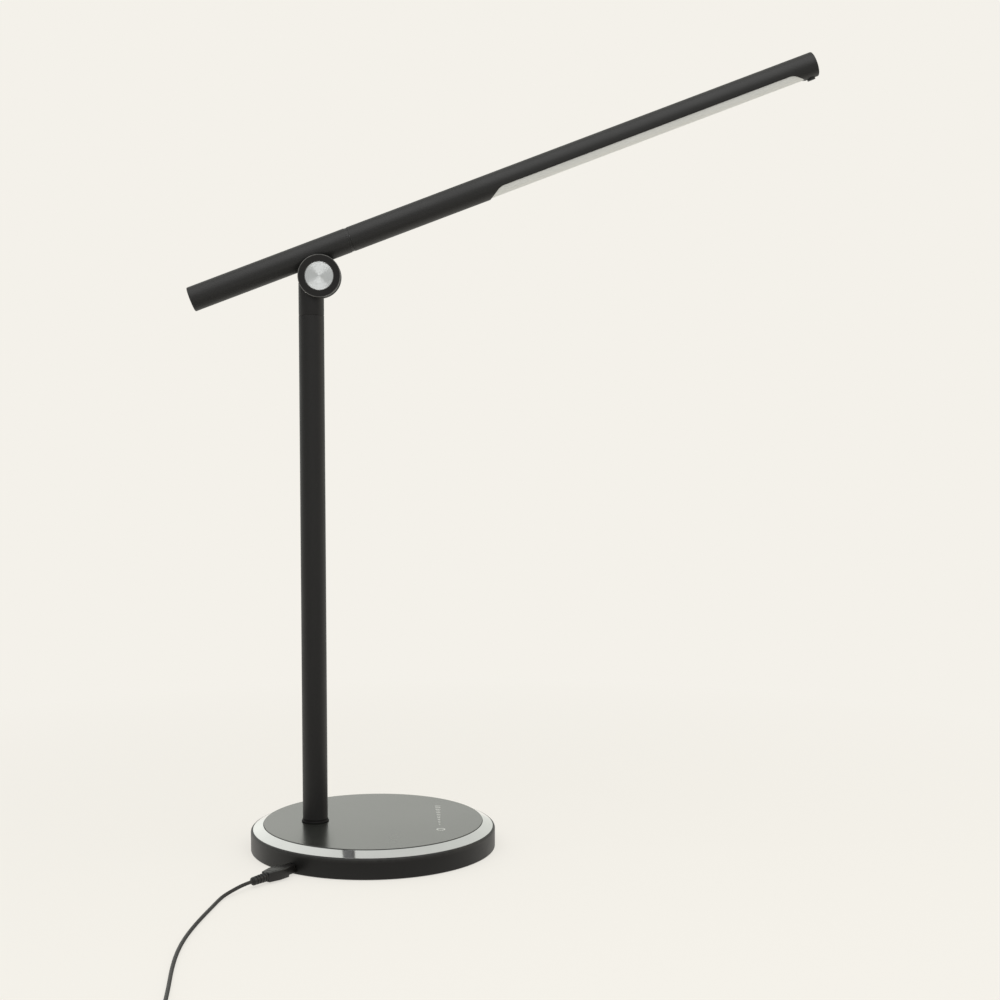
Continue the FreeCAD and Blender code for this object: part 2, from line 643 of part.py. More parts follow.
def make_power_socket():
    """Socket inside the base wall with a nose that fills the hole in the wall."""
    half_tall = f"(plug_height - {COVER_TOP})"
    case = slab("socket_case", f"{SOCKET_FRONT} - socket_depth", SOCKET_FRONT, f"-{half_tall}", half_tall,
                "socket_width")
    nose = rod("socket_nose", "nose_radius", SOCKET_FRONT, "base_radius - nose_sink")
    bore = rod("socket_bore", "tip_radius + tip_gap", f"{PLUG_FACE} - tip_length - socket_room", PLUG_FACE)
    return at_plug(cut("power_socket", joined("socket_union", [case, nose]), [bore]))


def make_plug_tip():
    """Metal tip of the power plug."""
    return at_plug(rod("plug_tip", "tip_radius", f"{PLUG_FACE} - tip_length", PLUG_FACE))


def make_plug_body():
    """Moulded plug: a narrow front and a grip that widens from the relief."""
    nose = move(bar("plug_nose", "plug_nose_width", "plug_nose_tall", "plug_nose_length + 2 * plug_round",
                    "plug_round / 2"), x=PLUG_FACE)
    neck, half = "(relief_start + relief_groove)", "(plug_grip_width / 2)"
    shoulder = f"({GRIP_END} - plug_shoulder)"
    grip = moulding("plug_grip", [
        (GRIP_START, f"-{half}"), (shoulder, f"-{half}"), (GRIP_END, f"-{neck}"),
        (GRIP_END, neck), (shoulder, half), (GRIP_START, half),
    ], "plug_grip_tall", "plug_round")
    return at_plug(joined("plug_body", [nose, grip]))


def make_plug_relief():
    """Tapered strain relief with ribs."""
    count = int(size("relief_ribs"))
    corners = [(GRIP_END, "0")]
    for rib in range(count):
        radius = f"(relief_start + (relief_finish - relief_start) * {rib} / {count - 1})"
        near = f"({GRIP_END} + relief_length * {rib} / {count})"
        middle = f"({GRIP_END} + relief_length * {rib + 0.6} / {count})"
        far = f"({GRIP_END} + relief_length * {rib + 1} / {count})"
        corners += [(near, radius), (middle, radius)]
        if rib < count - 1:
            corners += [(middle, f"{radius} - relief_groove"), (far, f"{radius} - relief_groove")]
        else:
            corners += [(far, "cord_radius + thread_gap")]
    corners.append((f"{GRIP_END} + relief_length", "0"))
    return at_plug(turned("plug_relief", corners, "X"))


def make_pivot_bush():
    """Flanged bush in the deck that the post's spindle turns in."""
    top = f"({COLLAR_UNDER} - run_gap)"
    bore = "(spindle_radius + spindle_gap)"
    return at_post(turned("pivot_bush", [
        (bore, DECK_UNDER), ("bush_radius", DECK_UNDER), ("bush_radius", "deck_top"),
        ("bush_flange", "deck_top"), ("bush_flange", top), (bore, top),
    ]))


def make_post_foot():
    """Hollow spindle, flared foot collar and the plug that the post tube sits on."""
    seat = f"({POST_INNER} - thread_gap)"
    return at_post(turned("post_foot", [
        ("spindle_bore", "spindle_end"), ("spindle_radius", "spindle_end"),
        ("spindle_radius", COLLAR_UNDER), ("post_radius + collar_flare", COLLAR_UNDER),
        ("post_radius + collar_flare", f"{COLLAR_UNDER} + collar_thick / 6"), ("post_radius", COLLAR_TOP),
        (seat, COLLAR_TOP), (seat, f"{COLLAR_TOP} + seat_length"),
        ("spindle_bore", f"{COLLAR_TOP} + seat_length"),
    ]))


def make_spring_washer():
    """Washer under the deck that gives the swivel its drag."""
    top = f"({DECK_UNDER} - run_gap)"
    return at_post(ring("spring_washer", "spindle_radius + thread_gap", "bush_flange",
                        f"{top} - washer_thick", top))


def make_post_nut():
    """Nut on the spindle under the washer."""
    top = f"({DECK_UNDER} - run_gap - washer_thick)"
    return at_post(hexagon_nut("post_nut", "nut_radius", "spindle_radius + thread_gap",
                               f"({top} - nut_thick)", top))


def make_post_tube():
    """Straight post tube."""
    return at_post(ring("post_tube", POST_INNER, "post_radius", COLLAR_TOP, POST_TOP))


def make_post_wire():
    """Wire inside the post."""
    return at_post(ring("post_wire", "0", "wire_radius", "spindle_end", POST_TOP))


def make_neck():
    """Neck on the post: a spigot, a hollow cut for the barrel and a tongue with the pin's eye."""
    seat = f"({POST_INNER} - thread_gap)"
    top = "(hinge_height - horn_drop)"
    stem = at_post(turned("neck_stem", [
        ("spindle_bore", f"{POST_TOP} - seat_length"), (seat, f"{POST_TOP} - seat_length"), (seat, POST_TOP),
        ("post_radius - neck_seam", POST_TOP), ("post_radius", f"{POST_TOP} + neck_seam"),
        ("post_radius", top), ("0", top), ("0", POST_TOP), ("spindle_bore", POST_TOP),
    ]))
    space = move(rod("barrel_space", "barrel_radius + barrel_gap", "-2 * post_radius", "2 * post_radius", "Y"),
                 x=HINGE_X, z="hinge_height")
    root = "(hinge_height - barrel_radius - barrel_gap - tongue_root)"
    tongue = prism("neck_tongue", [
        (f"{HINGE_X} - eye_radius", "hinge_height"), (f"{HINGE_X} + eye_radius", "hinge_height"),
        ("post_radius - post_setback - eye_radius / 2", root), (f"{HINGE_X} - 2 * eye_radius", root),
    ], "2 * tongue_half")
    eye = move(rod("neck_eye", "eye_radius", "-tongue_half", "tongue_half", "Y"), x=HINGE_X, z="hinge_height")
    bore = move(rod("neck_bore", "pin_radius + thread_gap", "-post_radius", "post_radius", "Y"),
                x=HINGE_X, z="hinge_height")
    hollow = cut("neck_hollow", stem, [space])
    return cut("neck", joined("neck_union", [hollow, tongue, eye]), [bore])


def make_hinge_barrel():
    """Barrel under the arm tube, slotted for the neck's tongue, with seats for the end discs."""
    seat = "(disc_radius + disc_gap)"
    corners = [("0", DISC_SEAT), (seat, DISC_SEAT), (seat, "barrel_half"),
               ("barrel_radius - barrel_chamfer", "barrel_half"),
               ("barrel_radius", "barrel_half - barrel_chamfer")]
    mirrored = [(radius, f"-({along})") for radius, along in reversed(corners)]
    form = turned("barrel_form", corners + mirrored, "Y")
    reach = "(barrel_radius + barrel_gap)"
    saddle = move(rod("saddle", "arm_radius + thread_gap", f"-2 * {reach}", f"2 * {reach}"), z="arm_offset")
    slot = slab("barrel_slot", f"-{reach}", reach, f"-{reach}", "slot_rise", "2 * slot_half")
    bore = rod("barrel_bore", "pin_radius + thread_gap", "-barrel_half", "barrel_half", "Y")
    heads = [rod("pin_head_seat", "pin_head + thread_gap", f"-{DISC_SEAT}", f"-{PIN_SEAT}", "Y"),
             rod("pin_nut_seat", "pin_head + thread_gap", PIN_SEAT, DISC_SEAT, "Y")]
    screws = [cylinder(f"web_hole_{number}", "saddle_screw_radius + thread_gap", "arm_offset", x=x)
              for number, x in enumerate(("-saddle_screw_reach", "saddle_screw_reach"))]
    return at_hinge(cut("hinge_barrel", form, [saddle, slot, bore] + heads + screws))


def make_hinge_pin():
    """Headed pin through both cheeks of the barrel and the tongue's eye."""
    return at_hinge(turned("hinge_pin", [
        ("0", f"-{DISC_SEAT}"), ("pin_head", f"-{DISC_SEAT}"), ("pin_head", f"-{PIN_SEAT}"),
        ("pin_radius", f"-{PIN_SEAT}"), ("pin_radius", DISC_SEAT), ("0", DISC_SEAT),
    ], "Y"))


def make_hinge_nut():
    """Nut on the pin's far end."""
    return at_hinge(hexagon_nut("hinge_nut", "pin_head", "pin_radius + thread_gap", PIN_SEAT, DISC_SEAT, "Y"))


def make_friction_washers():
    """Washers between the tongue and the barrel's cheeks."""
    near, far = "(tongue_half + run_gap)", "(slot_half - run_gap)"
    bore, rim = "pin_radius + thread_gap", "eye_radius - washer_rim"
    return at_hinge(group("friction_washers", [
        ring("friction_washer_rear", bore, rim, near, far, "Y"),
        ring("friction_washer_front", bore, rim, f"-{far}", f"-{near}", "Y"),
    ]))


def make_trim_disc(label, side):
    """Spun metal disc in one end of the barrel; side is + or -."""
    face = "(barrel_half - disc_sink)"
    return at_hinge(turned(label, [
        ("0", f"{side}{DISC_SEAT}"), ("disc_radius", f"{side}{DISC_SEAT}"),
        ("disc_radius", f"{side}({face} - disc_chamfer)"), ("disc_radius - disc_chamfer", f"{side}{face}"),
        ("0", f"{side}{face}"),
    ], "Y"))


def make_rear_tube():
    """Arm tube behind the roll seam, drilled for the saddle screws."""
    tube = ring("rear_tube_form", ARM_INNER, "arm_radius", "rear_cap_thick - rear_reach", REAR_FINISH, "X")
    holes = [cylinder(f"tube_hole_{number}", "saddle_screw_radius + thread_gap", "2 * arm_wall + thread_gap",
                      x=x, z="-arm_radius - thread_gap")
             for number, x in enumerate(("-saddle_screw_reach", "saddle_screw_reach"))]
    return at_arm(cut("rear_tube", tube, holes))


def make_saddle_plate():
    """Threaded strip inside the tube that the saddle screws pull on."""
    bar_form = rod("saddle_plate_round", f"{ARM_INNER} - thread_gap", "-saddle_plate_length / 2",
                   "saddle_plate_length / 2")
    strip = slab("saddle_plate_strip", "-saddle_plate_length / 2", "saddle_plate_length / 2",
                 f"-{ARM_INNER}", f"saddle_plate_thick - {ARM_INNER}", "saddle_plate_width")
    holes = [cylinder(f"saddle_plate_hole_{number}", "saddle_screw_radius + thread_gap", "arm_radius",
                      x=x, z="-arm_radius")
             for number, x in enumerate(("-saddle_screw_reach", "saddle_screw_reach"))]
    return at_arm(cut("saddle_plate", common("saddle_plate_form", bar_form, strip), holes))


def make_saddle_screws():
    """Screws from the barrel's slot up into the strip."""
    seat = "(slot_rise - arm_offset)"
    finish = f"(saddle_plate_thick - {ARM_INNER})"
    screws = []
    for number, x in enumerate(("-saddle_screw_reach", "saddle_screw_reach")):
        screw = turned(f"saddle_screw_{number}", [
            ("0", f"{seat} - saddle_head_thick"), ("saddle_head_radius", f"{seat} - saddle_head_thick"),
            ("saddle_head_radius", seat), ("saddle_screw_radius", seat),
            ("saddle_screw_radius", finish), ("0", finish),
        ])
        screws.append(move(screw, x))
    return at_arm(group("saddle_screws", screws))


def make_rear_cap():
    """Flat cap in the arm's rear end."""
    seat = f"({ARM_INNER} - thread_gap)"
    return at_arm(turned("rear_cap", [
        ("-rear_reach", "0"), ("-rear_reach", "arm_radius - rear_cap_chamfer"),
        ("rear_cap_chamfer - rear_reach", "arm_radius"), ("rear_cap_thick - rear_reach", "arm_radius"),
        ("rear_cap_thick - rear_reach", seat), ("rear_cap_thick + cap_seat - rear_reach", seat),
        ("rear_cap_thick + cap_seat - rear_reach", "0"),
    ], "X"))


def make_roll_spigot():
    """Hollow spigot in the rear tube whose shank carries the rolling head."""
    seat = f"({ARM_INNER} - thread_gap)"
    ring_front = "(seam_at + ring_width / 2)"
    shoulder = "(seam_at + head_bush_start - run_gap)"
    finish = f"({BUSH_FINISH} + run_gap + roll_washer_thick + roll_nut_thick)"
    return at_arm(turned("roll_spigot", [
        ("seam_at - spigot_seat", "shank_bore"), ("seam_at - spigot_seat", seat),
        (ring_front, seat), (ring_front, "shoulder_radius"), (shoulder, "shoulder_radius"),
        (shoulder, "shank_radius"), (finish, "shank_radius"), (finish, "shank_bore"),
    ], "X"))


def make_roll_ring():
    """Ring that shows in the roll seam."""
    return at_arm(ring("roll_ring", ARM_INNER, "arm_radius - ring_inset", "seam_at - ring_width / 2",
                       "seam_at + ring_width / 2", "X"))


def make_head_bush():
    """Bush in the head tube that turns on the spigot's shank."""
    return at_arm(ring("head_bush", "shank_radius + spindle_gap", f"{ARM_INNER} - thread_gap",
                       "seam_at + head_bush_start", BUSH_FINISH, "X"))


def make_roll_washer():
    """Spring washer behind the head bush."""
    return at_arm(ring("roll_washer", "shank_radius + thread_gap", "roll_nut_radius",
                       f"{BUSH_FINISH} + run_gap", f"{BUSH_FINISH} + run_gap + roll_washer_thick", "X"))


def make_roll_nut():
    """Nut on the spigot's shank."""
    low = f"({BUSH_FINISH} + run_gap + roll_washer_thick)"
    return at_arm(hexagon_nut("roll_nut", "roll_nut_radius", "shank_radius + thread_gap",
                              low, f"({low} + roll_nut_thick)", "X"))


def make_arm_wire():
    """Wire inside the arm, through the spigot to the light board."""
    return at_arm(rod("arm_wire", "wire_radius", "-saddle_plate_length / 2", "carrier_rear - seam_gap"))


def window_form(label, gap):
    """Long window with sloping ends and rounded upper corners, or with a gap what fills it."""
    first, last = f"(window_start + 2 * {gap})", f"(window_end - 2 * {gap})"
    top = f"(-window_drop - {gap})"
    rise, fall = f"((arm_radius + {top}) / tan(window_ramp))", "(arm_radius / tan(window_ramp))"
    form = prism(label, [
        (f"{first} - {fall}", "-2 * arm_radius"), (f"{last} + {fall}", "-2 * arm_radius"),
        (f"{last} - {rise}", top), (f"{first} + {rise}", top),
    ], "4 * arm_radius")
    level = value(top)
    return rounded(form, "Fillet", "window_corner", lambda edge: abs(edge.CenterOfMass.y) < 0.01
                   and abs(edge.BoundBox.ZMin - level) < 0.01 and edge.BoundBox.XLength < 0.01)


def make_head_tube():
    """Head tube with a long slope-ended window in its underside and a hole for the button."""
    tube = ring("head_tube_form", ARM_INNER, "arm_radius", HEAD_START, CAP_BACK, "X")
    hole = cylinder("button_hole", "button_radius + button_gap", "3 * arm_wall", x=BUTTON_AT,
                    z="-arm_radius - arm_wall")
    return at_arm(cut("head_tube", tube, [window_form("window", "0"), hole]))


def make_led_carrier():
    """Half-round metal strip that carries the light board and takes its heat."""
    round_form = rod("carrier_round", DIFFUSER_RADIUS, "carrier_rear", DIFFUSER_END)
    upper = slab("carrier_upper", "carrier_rear", DIFFUSER_END, "carrier_level", "arm_radius", "2 * arm_radius")
    return at_arm(common("led_carrier", round_form, upper))


def make_led_board():
    """Light board under the carrier."""
    return at_arm(slab("led_board", STRIP_START, STRIP_END,
                       "carrier_level - led_board_thick", "carrier_level", "led_board_width"))


def make_leds():
    """Row of light chips along the window."""
    count = int(size("led_count"))
    chips = []
    for number in range(count):
        middle = f"({STRIP_START} + ({STRIP_END} - {STRIP_START}) * {number + 0.5} / {count})"
        chips.append(slab(f"led_{number}", f"{middle} - led_length / 2", f"{middle} + led_length / 2",
                          "carrier_level - led_board_thick - led_thick", "carrier_level - led_board_thick",
                          "led_width"))
    return at_arm(group("leds", chips))


def make_diffuser():
    """Curved pale strip that lies inside the tube and fills its window."""
    inner = f"({DIFFUSER_RADIUS} - diffuser_wall)"
    shell = ring("diffuser_round", inner, DIFFUSER_RADIUS, DIFFUSER_START, DIFFUSER_END, "X")
    lower = slab("diffuser_lower", DIFFUSER_START, DIFFUSER_END, "-arm_radius", DIFFUSER_TOP, "2 * arm_radius")
    face = ring("diffuser_face", inner, "arm_radius - diffuser_sink", DIFFUSER_START, DIFFUSER_END, "X")
    return at_arm(joined("diffuser", [
        common("diffuser_strip", shell, lower),
        common("diffuser_fill", face, window_form("diffuser_window", "inner_gap")),
    ]))


def make_head_cap():
    """Rounded cap in the tip with a pocket for the push switch."""
    seat = f"({ARM_INNER} - thread_gap)"
    form = turned("head_cap_form", [
        (CAP_SEAT_END, "0"), (CAP_SEAT_END, seat), (CAP_BACK, seat), (CAP_BACK, "arm_radius"),
        ("tip_at", "arm_radius"), ("tip_at", "0"),
    ], "X")
    rounded(form, "Fillet", "head_cap_round", lambda edge: is_circle(edge, size("arm_radius"))
            and edge.CenterOfMass.x > size("tip_at") - 0.01)
    reach = "(button_flange + button_gap)"
    pocket = slab("switch_pocket", f"{BUTTON_AT} - {reach}", f"{BUTTON_AT} + {reach}", "-arm_radius",
                  "switch_tall - switch_level", f"2 * {reach}")
    return at_arm(cut("head_cap", form, [pocket]))


def make_push_switch():
    """Switch in the cap's pocket above the button."""
    return at_arm(slab("push_switch", f"{BUTTON_AT} - switch_size / 2", f"{BUTTON_AT} + switch_size / 2",
                       "-switch_level", "switch_tall - switch_level", "switch_size"))


def make_switch_button():
    """Round push button that stands a little proud of the tube's underside."""
    face = "(-arm_radius - button_out)"
    stem_end = "(-switch_level - button_travel - inner_gap)"
    button = turned("switch_button", [
        ("0", face), ("button_radius - button_chamfer", face), ("button_radius", f"{face} + button_chamfer"),
        ("button_radius", "-flange_level"), ("button_flange", "-flange_level"),
        ("button_flange", "button_flange_thick - flange_level"),
        ("button_stem", "button_flange_thick - flange_level"), ("button_stem", stem_end), ("0", stem_end),
    ])
    return at_arm(button, BUTTON_AT)


def arc_edge(start, heading, finish):
    """Arc that leaves a point along a heading and ends at another point, and its last heading."""
    chord = finish - start
    along = Vector(chord).normalize()
    lean = heading.dot(along)
    aside = heading - along * lean
    if aside.Length < 1e-9:
        return Part.LineSegment(start, finish).toShape(), heading
    bulge = chord.Length / 2 * math.tan(math.acos(max(-1.0, min(1.0, lean))) / 2)
    middle = (start + finish) / 2 + aside.normalize() * bulge
    return Part.Arc(start, middle, finish).toShape(), along * (2 * lean) - heading


def biarc(start, heading, finish, last_heading):
    """Two arcs that join two points and their headings without a kink."""
    span = finish - start
    both = heading + last_heading
    spread = 2 * (1 - heading.dot(last_heading))
    pull = span.dot(both)
    handle = (math.sqrt(pull * pull + spread * span.dot(span)) - pull) / spread
    joint = ((start + heading * handle) + (finish - last_heading * handle)) / 2
    first, middle_heading = arc_edge(start, heading, joint)
    second = arc_edge(joint, middle_heading, finish)[0]
    return [first, second]


def tube_along(edges, start, heading, radius):
    """Solid tube of a round section along a row of joined edges."""
    section = Part.Wire([Part.Circle(start, heading, radius).toShape()])
    return Part.Wire(edges).makePipeShell([section], True, False)


def rounded_route(points):
    """Straight runs joined by arcs as large as the runs allow, and the arcs' radii."""
    edges = []
    radii = []
    here = points[0]
    for before, corner, after in zip(points, points[1:], points[2:]):
        arriving = (corner - before).normalize()
        leaving = (after - corner).normalize()
        reach = 0.45 * min((corner - before).Length, (after - corner).Length)
        entry = corner - arriving * reach
        edges.append(Part.LineSegment(here, entry).toShape())
        edges.append(arc_edge(entry, arriving, corner + leaving * reach)[0])
        radii.append(reach / math.tan(arriving.getAngle(leaving) / 2))
        here = corner + leaving * reach
    edges.append(Part.LineSegment(here, points[-1]).toShape())
    return edges, radii


def make_cord_lead():
    """Free cord from the strain relief over the table to the put-away coil."""
    start = Vector(value(f"{RELIEF_END} * cos(plug_turn)"), value(f"-{RELIEF_END} * sin(plug_turn)"),
                   size("plug_height"))
    finish = coil_start() + Vector(0, 2 * size("cord_radius"), 0)
    points = [start] + [Vector(start.x + x, start.y + y, z) for x, y, z in LEAD_ROUTE] + [finish]
    edges, radii = rounded_route(points)
    radius = size("cord_radius")
    lead = doc.addObject("Part::Feature", "cord_lead")
    lead.Shape = tube_along(edges, start, points[1] - start, radius)
    length = sum(edge.Length for edge in edges)
    expected = math.pi * radius ** 2 * length
    print("cord_lead length", round(length, 1), "volume ratio", round(lead.Shape.Volume / expected, 4))
    print("cord_lead radii", [round(bend, 1) for bend in radii])
    return lead


def coil_start():
    """First point of the coil's turns."""
    level = size("tie_thick") + size("tie_gap") + size("cord_radius")
    return Vector(value(COIL_X) - size("coil_radius"), value(COIL_Y), level)


def coil_point(turns):
    """Centre line of the coil: in on the lower layer, up in half a turn, out on the upper one."""
    pitch = size("coil_pitch")
    layer_turns = size("coil_turns")
    radius = size("coil_radius") - pitch * turns
    height = coil_start().z
    if turns > layer_turns + 0.5:
        radius = size("coil_radius") - pitch * (2 * layer_turns + 0.5 - turns)
        height += size("coil_layer")
    elif turns > layer_turns:
        part = turns - layer_turns
        radius = size("coil_radius") - pitch * (layer_turns + part - 2 * part ** 2)
        height += size("coil_layer") * (3 - 4 * part) * (2 * part) ** 2
    angle = math.pi + 2 * math.pi * turns
    return Vector(value(COIL_X) + radius * math.cos(angle), value(COIL_Y) + radius * math.sin(angle), height)


def coil_heading(turns):
    """Direction of the coil's centre line."""
    step = 1e-4
    return (coil_point(turns + step) - coil_point(turns - step)).normalize()


def coil_gap(total):
    """Least gap between the coil's tube and itself, measured on points."""
    steps = int(total * 90)
    spots = [coil_point(total * index / steps) for index in range(steps + 1)]
    apart = 54
    nearest = min((spots[one] - spots[two]).Length
                  for one in range(len(spots)) for two in range(one + apart, len(spots)))
    return nearest - 2 * size("cord_radius")


def make_cord_coil():
    """The rest of the cord, wound in two layers, with straight ends."""
    radius = size("cord_radius")
    quarters = round((2 * size("coil_turns") + 0.5) * 4)
    first = coil_start()
    lead_in = first + Vector(0, 2 * radius, 0)
    edges = [Part.LineSegment(lead_in, first).toShape()]
    stops = [(coil_point(index / 4), coil_heading(index / 4)) for index in range(quarters + 1)]
    stops[0] = (first, Vector(0, -1, 0))
    stops[-1] = (stops[-1][0], Vector(1, 0, 0))
    for (start, heading), (finish, last_heading) in zip(stops, stops[1:]):
        edges += biarc(start, heading, finish, last_heading)
    last = stops[-1][0]
    edges.append(Part.LineSegment(last, last + Vector(size("tail_length"), 0, 0)).toShape())
    coil = doc.addObject("Part::Feature", "cord_coil")
    coil.Shape = tube_along(edges, lead_in, Vector(0, -1, 0), radius)
    length = sum(edge.Length for edge in edges)
    print("cord_coil length", round(length, 1), "volume ratio",
          round(coil.Shape.Volume / (math.pi * radius ** 2 * length), 4))
    print("cord_coil least gap", round(coil_gap(quarters / 4), 3))
    return coil


def make_cord_tie():
    """Band round one side of the coil."""
    near = f"({COIL_X} + coil_radius - coil_turns * coil_pitch - 2 * cord_radius)"
    far = f"({COIL_X} + coil_radius - coil_pitch / 2 + cord_radius + tie_gap)"
    top = f"({TAIL_LEVEL} + cord_radius + tie_gap)"
    outer = block("tie_outer", f"{far} - {near} + 2 * tie_thick", "tie_width", f"{top} + tie_thick",
                  f"{near} - tie_thick", f"{COIL_Y} - tie_width / 2", "0")
    inner = block("tie_inner", f"{far} - {near}", "2 * tie_width", f"{top} - tie_thick",
                  near, f"{COIL_Y} - tie_width", "tie_thick")
    return cut("cord_tie", outer, [inner])


def make_usb_relief():
    """Strain relief of the far plug."""
    form = turned("usb_relief", [
        ("0", "0"), ("0", "cord_radius + thread_gap"), ("usb_relief_length", "usb_relief_radius"),
        ("usb_relief_length", "0"),
    ], "X")
    return move(form, x=TAIL_X, y=TAIL_Y, z=TAIL_LEVEL)


def make_usb_body():
    """Moulded grip of the far plug, lying on the table."""
    tall = f"(2 * {TAIL_LEVEL} - 2 * tie_gap)"
    grip = bar("usb_body", "usb_body_width", tall, "usb_body_length", "usb_round")
    return move(grip, x=USB_BODY_X, y=TAIL_Y, z=TAIL_LEVEL)


def make_usb_shell():
    """Folded metal shell of the far plug."""
    outer = block("usb_shell_outer", "usb_shell_length", "usb_shell_width", "usb_shell_tall",
                  USB_SHELL_X, f"{TAIL_Y} - usb_shell_width / 2", f"{TAIL_LEVEL} - usb_shell_tall / 2")
    inner = block("usb_shell_inner", "usb_shell_length", "usb_shell_width - 2 * usb_shell_wall",
                  "usb_shell_tall - 2 * usb_shell_wall", f"{USB_SHELL_X} + usb_shell_wall",
                  f"{TAIL_Y} - usb_shell_width / 2 + usb_shell_wall",
                  f"{TAIL_LEVEL} - usb_shell_tall / 2 + usb_shell_wall")
    return cut("usb_shell", outer, [inner])


def make_usb_tongue():
    """Contact tongue on the upper side of the shell."""
    return block("usb_tongue", "usb_shell_length - 2 * usb_shell_wall",
                 "usb_shell_width - 2 * usb_shell_wall - 2 * tie_gap",
                 "usb_tongue_tall", f"{USB_SHELL_X} + usb_shell_wall",
                 f"{TAIL_Y} - usb_shell_width / 2 + usb_shell_wall + tie_gap",
                 f"{TAIL_LEVEL} + usb_shell_tall / 2 - usb_shell_wall - usb_tongue_tall")


NODES = [
    make_base_shell(), make_trim_ring(), make_top_plate(), make_control_board(), make_base_weight(),
    make_weight_screws(), make_bottom_cover(), make_cover_screws(), make_anti_slip_pad(),
    make_power_socket(), make_pivot_bush(),
    make_post_foot(), make_spring_washer(), make_post_nut(), make_post_tube(), make_post_wire(), make_neck(),
    make_hinge_barrel(), make_hinge_pin(), make_hinge_nut(), make_friction_washers(),
    make_trim_disc("trim_disc_front", "-"), make_trim_disc("trim_disc_rear", "+"),
    make_rear_tube(), make_saddle_plate(), make_saddle_screws(), make_rear_cap(),
    make_roll_spigot(), make_roll_ring(), make_roll_washer(), make_roll_nut(), make_arm_wire(),
    make_head_tube(), make_head_bush(), make_led_carrier(), make_led_board(), make_leds(), make_diffuser(),
    make_head_cap(), make_push_switch(), make_switch_button(),
    make_plug_tip(), make_plug_body(), make_plug_relief(), make_cord_lead(), make_cord_coil(), make_cord_tie(),
    make_usb_relief(), make_usb_body(), make_usb_shell(), make_usb_tongue(),
]

doc.recompute()
failed = [item.Name for item in doc.Objects if "Invalid" in item.State or "Error" in item.State]
if failed:
    raise RuntimeError(f"objects that failed: {failed}")
for node in NODES:
    if node.Shape.isNull() or not node.Shape.isValid() or not node.Shape.Solids:
        raise RuntimeError(f"no valid solid: {node.Label}")
os.makedirs("parts", exist_ok=True)
for node in NODES:
    node.Shape.exportStep(f"parts/{node.Label}.step")
print(len(NODES), "nodes,", sum(len(node.Shape.Solids) for node in NODES), "solids")
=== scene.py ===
"""Looks of an LED desk lamp: smooth outer pieces, finishes, cord, stage and camera."""
import json

import bmesh
import bpy
import numpy as np
from bpy.props import FloatProperty, FloatVectorProperty, IntProperty, PointerProperty
from bpy.types import Operator, Panel, PropertyGroup
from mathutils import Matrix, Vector


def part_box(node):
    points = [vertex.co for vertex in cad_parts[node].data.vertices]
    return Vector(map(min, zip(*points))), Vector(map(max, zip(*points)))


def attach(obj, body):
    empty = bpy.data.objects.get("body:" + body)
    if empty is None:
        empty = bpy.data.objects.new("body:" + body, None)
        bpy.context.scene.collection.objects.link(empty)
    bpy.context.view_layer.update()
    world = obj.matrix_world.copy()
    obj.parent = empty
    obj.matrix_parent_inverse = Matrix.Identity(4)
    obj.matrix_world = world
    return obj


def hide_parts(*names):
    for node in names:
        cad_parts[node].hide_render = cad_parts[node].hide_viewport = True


bl_info = {
    "name": "LED desk lamp",
    "version": (1, 0, 0),
    "blender": (4, 5, 0),
    "location": "View3D > Sidebar > Lamp",
    "description": "Dresses the frame of an LED desk lamp with smooth pieces and finishes",
    "category": "Object",
}

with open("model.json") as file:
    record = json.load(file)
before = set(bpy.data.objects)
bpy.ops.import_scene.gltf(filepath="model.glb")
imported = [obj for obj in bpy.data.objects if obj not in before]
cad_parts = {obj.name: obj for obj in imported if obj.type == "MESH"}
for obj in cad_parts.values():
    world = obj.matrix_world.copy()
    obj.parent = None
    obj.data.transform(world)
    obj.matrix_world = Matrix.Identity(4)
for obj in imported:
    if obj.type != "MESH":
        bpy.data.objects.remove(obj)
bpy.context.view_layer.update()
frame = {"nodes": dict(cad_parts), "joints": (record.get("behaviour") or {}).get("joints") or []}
NODES = frame["nodes"]
JOINTS = {joint["name"]: joint for joint in frame["joints"]}
MM = 0.001

# Axes and origins at rest, in metres, from the frame's joints. The seam's place along the arm and the
# plug's height are in millimetres, and the plug's turn is measured about the base's centre.
FORWARD, ACROSS, UP = np.eye(3)
ALONG = np.array(JOINTS["head_roll"]["axis"])
RISE = np.array(JOINTS["button_press"]["axis"])
HINGE = np.array(JOINTS["arm_tilt"]["pos_m"])
SEAM_AT = 29.5
ARM_START = np.array(JOINTS["head_roll"]["pos_m"]) - SEAM_AT * MM * ALONG
POST_AT = np.array(JOINTS["post_swivel"]["pos_m"]) * (1, 1, 0)
PLUG_TURN = np.radians(-128.5)
PLUG_WAY = np.array((np.cos(PLUG_TURN), np.sin(PLUG_TURN), 0.0))
PLUG_SIDE = np.array((-np.sin(PLUG_TURN), np.cos(PLUG_TURN), 0.0))
PLUG_HEIGHT = 4.5

# A place is an origin and the three axes of a piece's own x, y and z.
AT_BASE = (np.zeros(3), FORWARD, ACROSS, UP)
AT_POST = (POST_AT, FORWARD, ACROSS, UP)
AT_HINGE = (HINGE, ALONG, ACROSS, RISE)
AT_ARM = (ARM_START, ALONG, ACROSS, RISE)
AT_PLUG = (PLUG_HEIGHT * MM * UP, PLUG_WAY, PLUG_SIDE, UP)

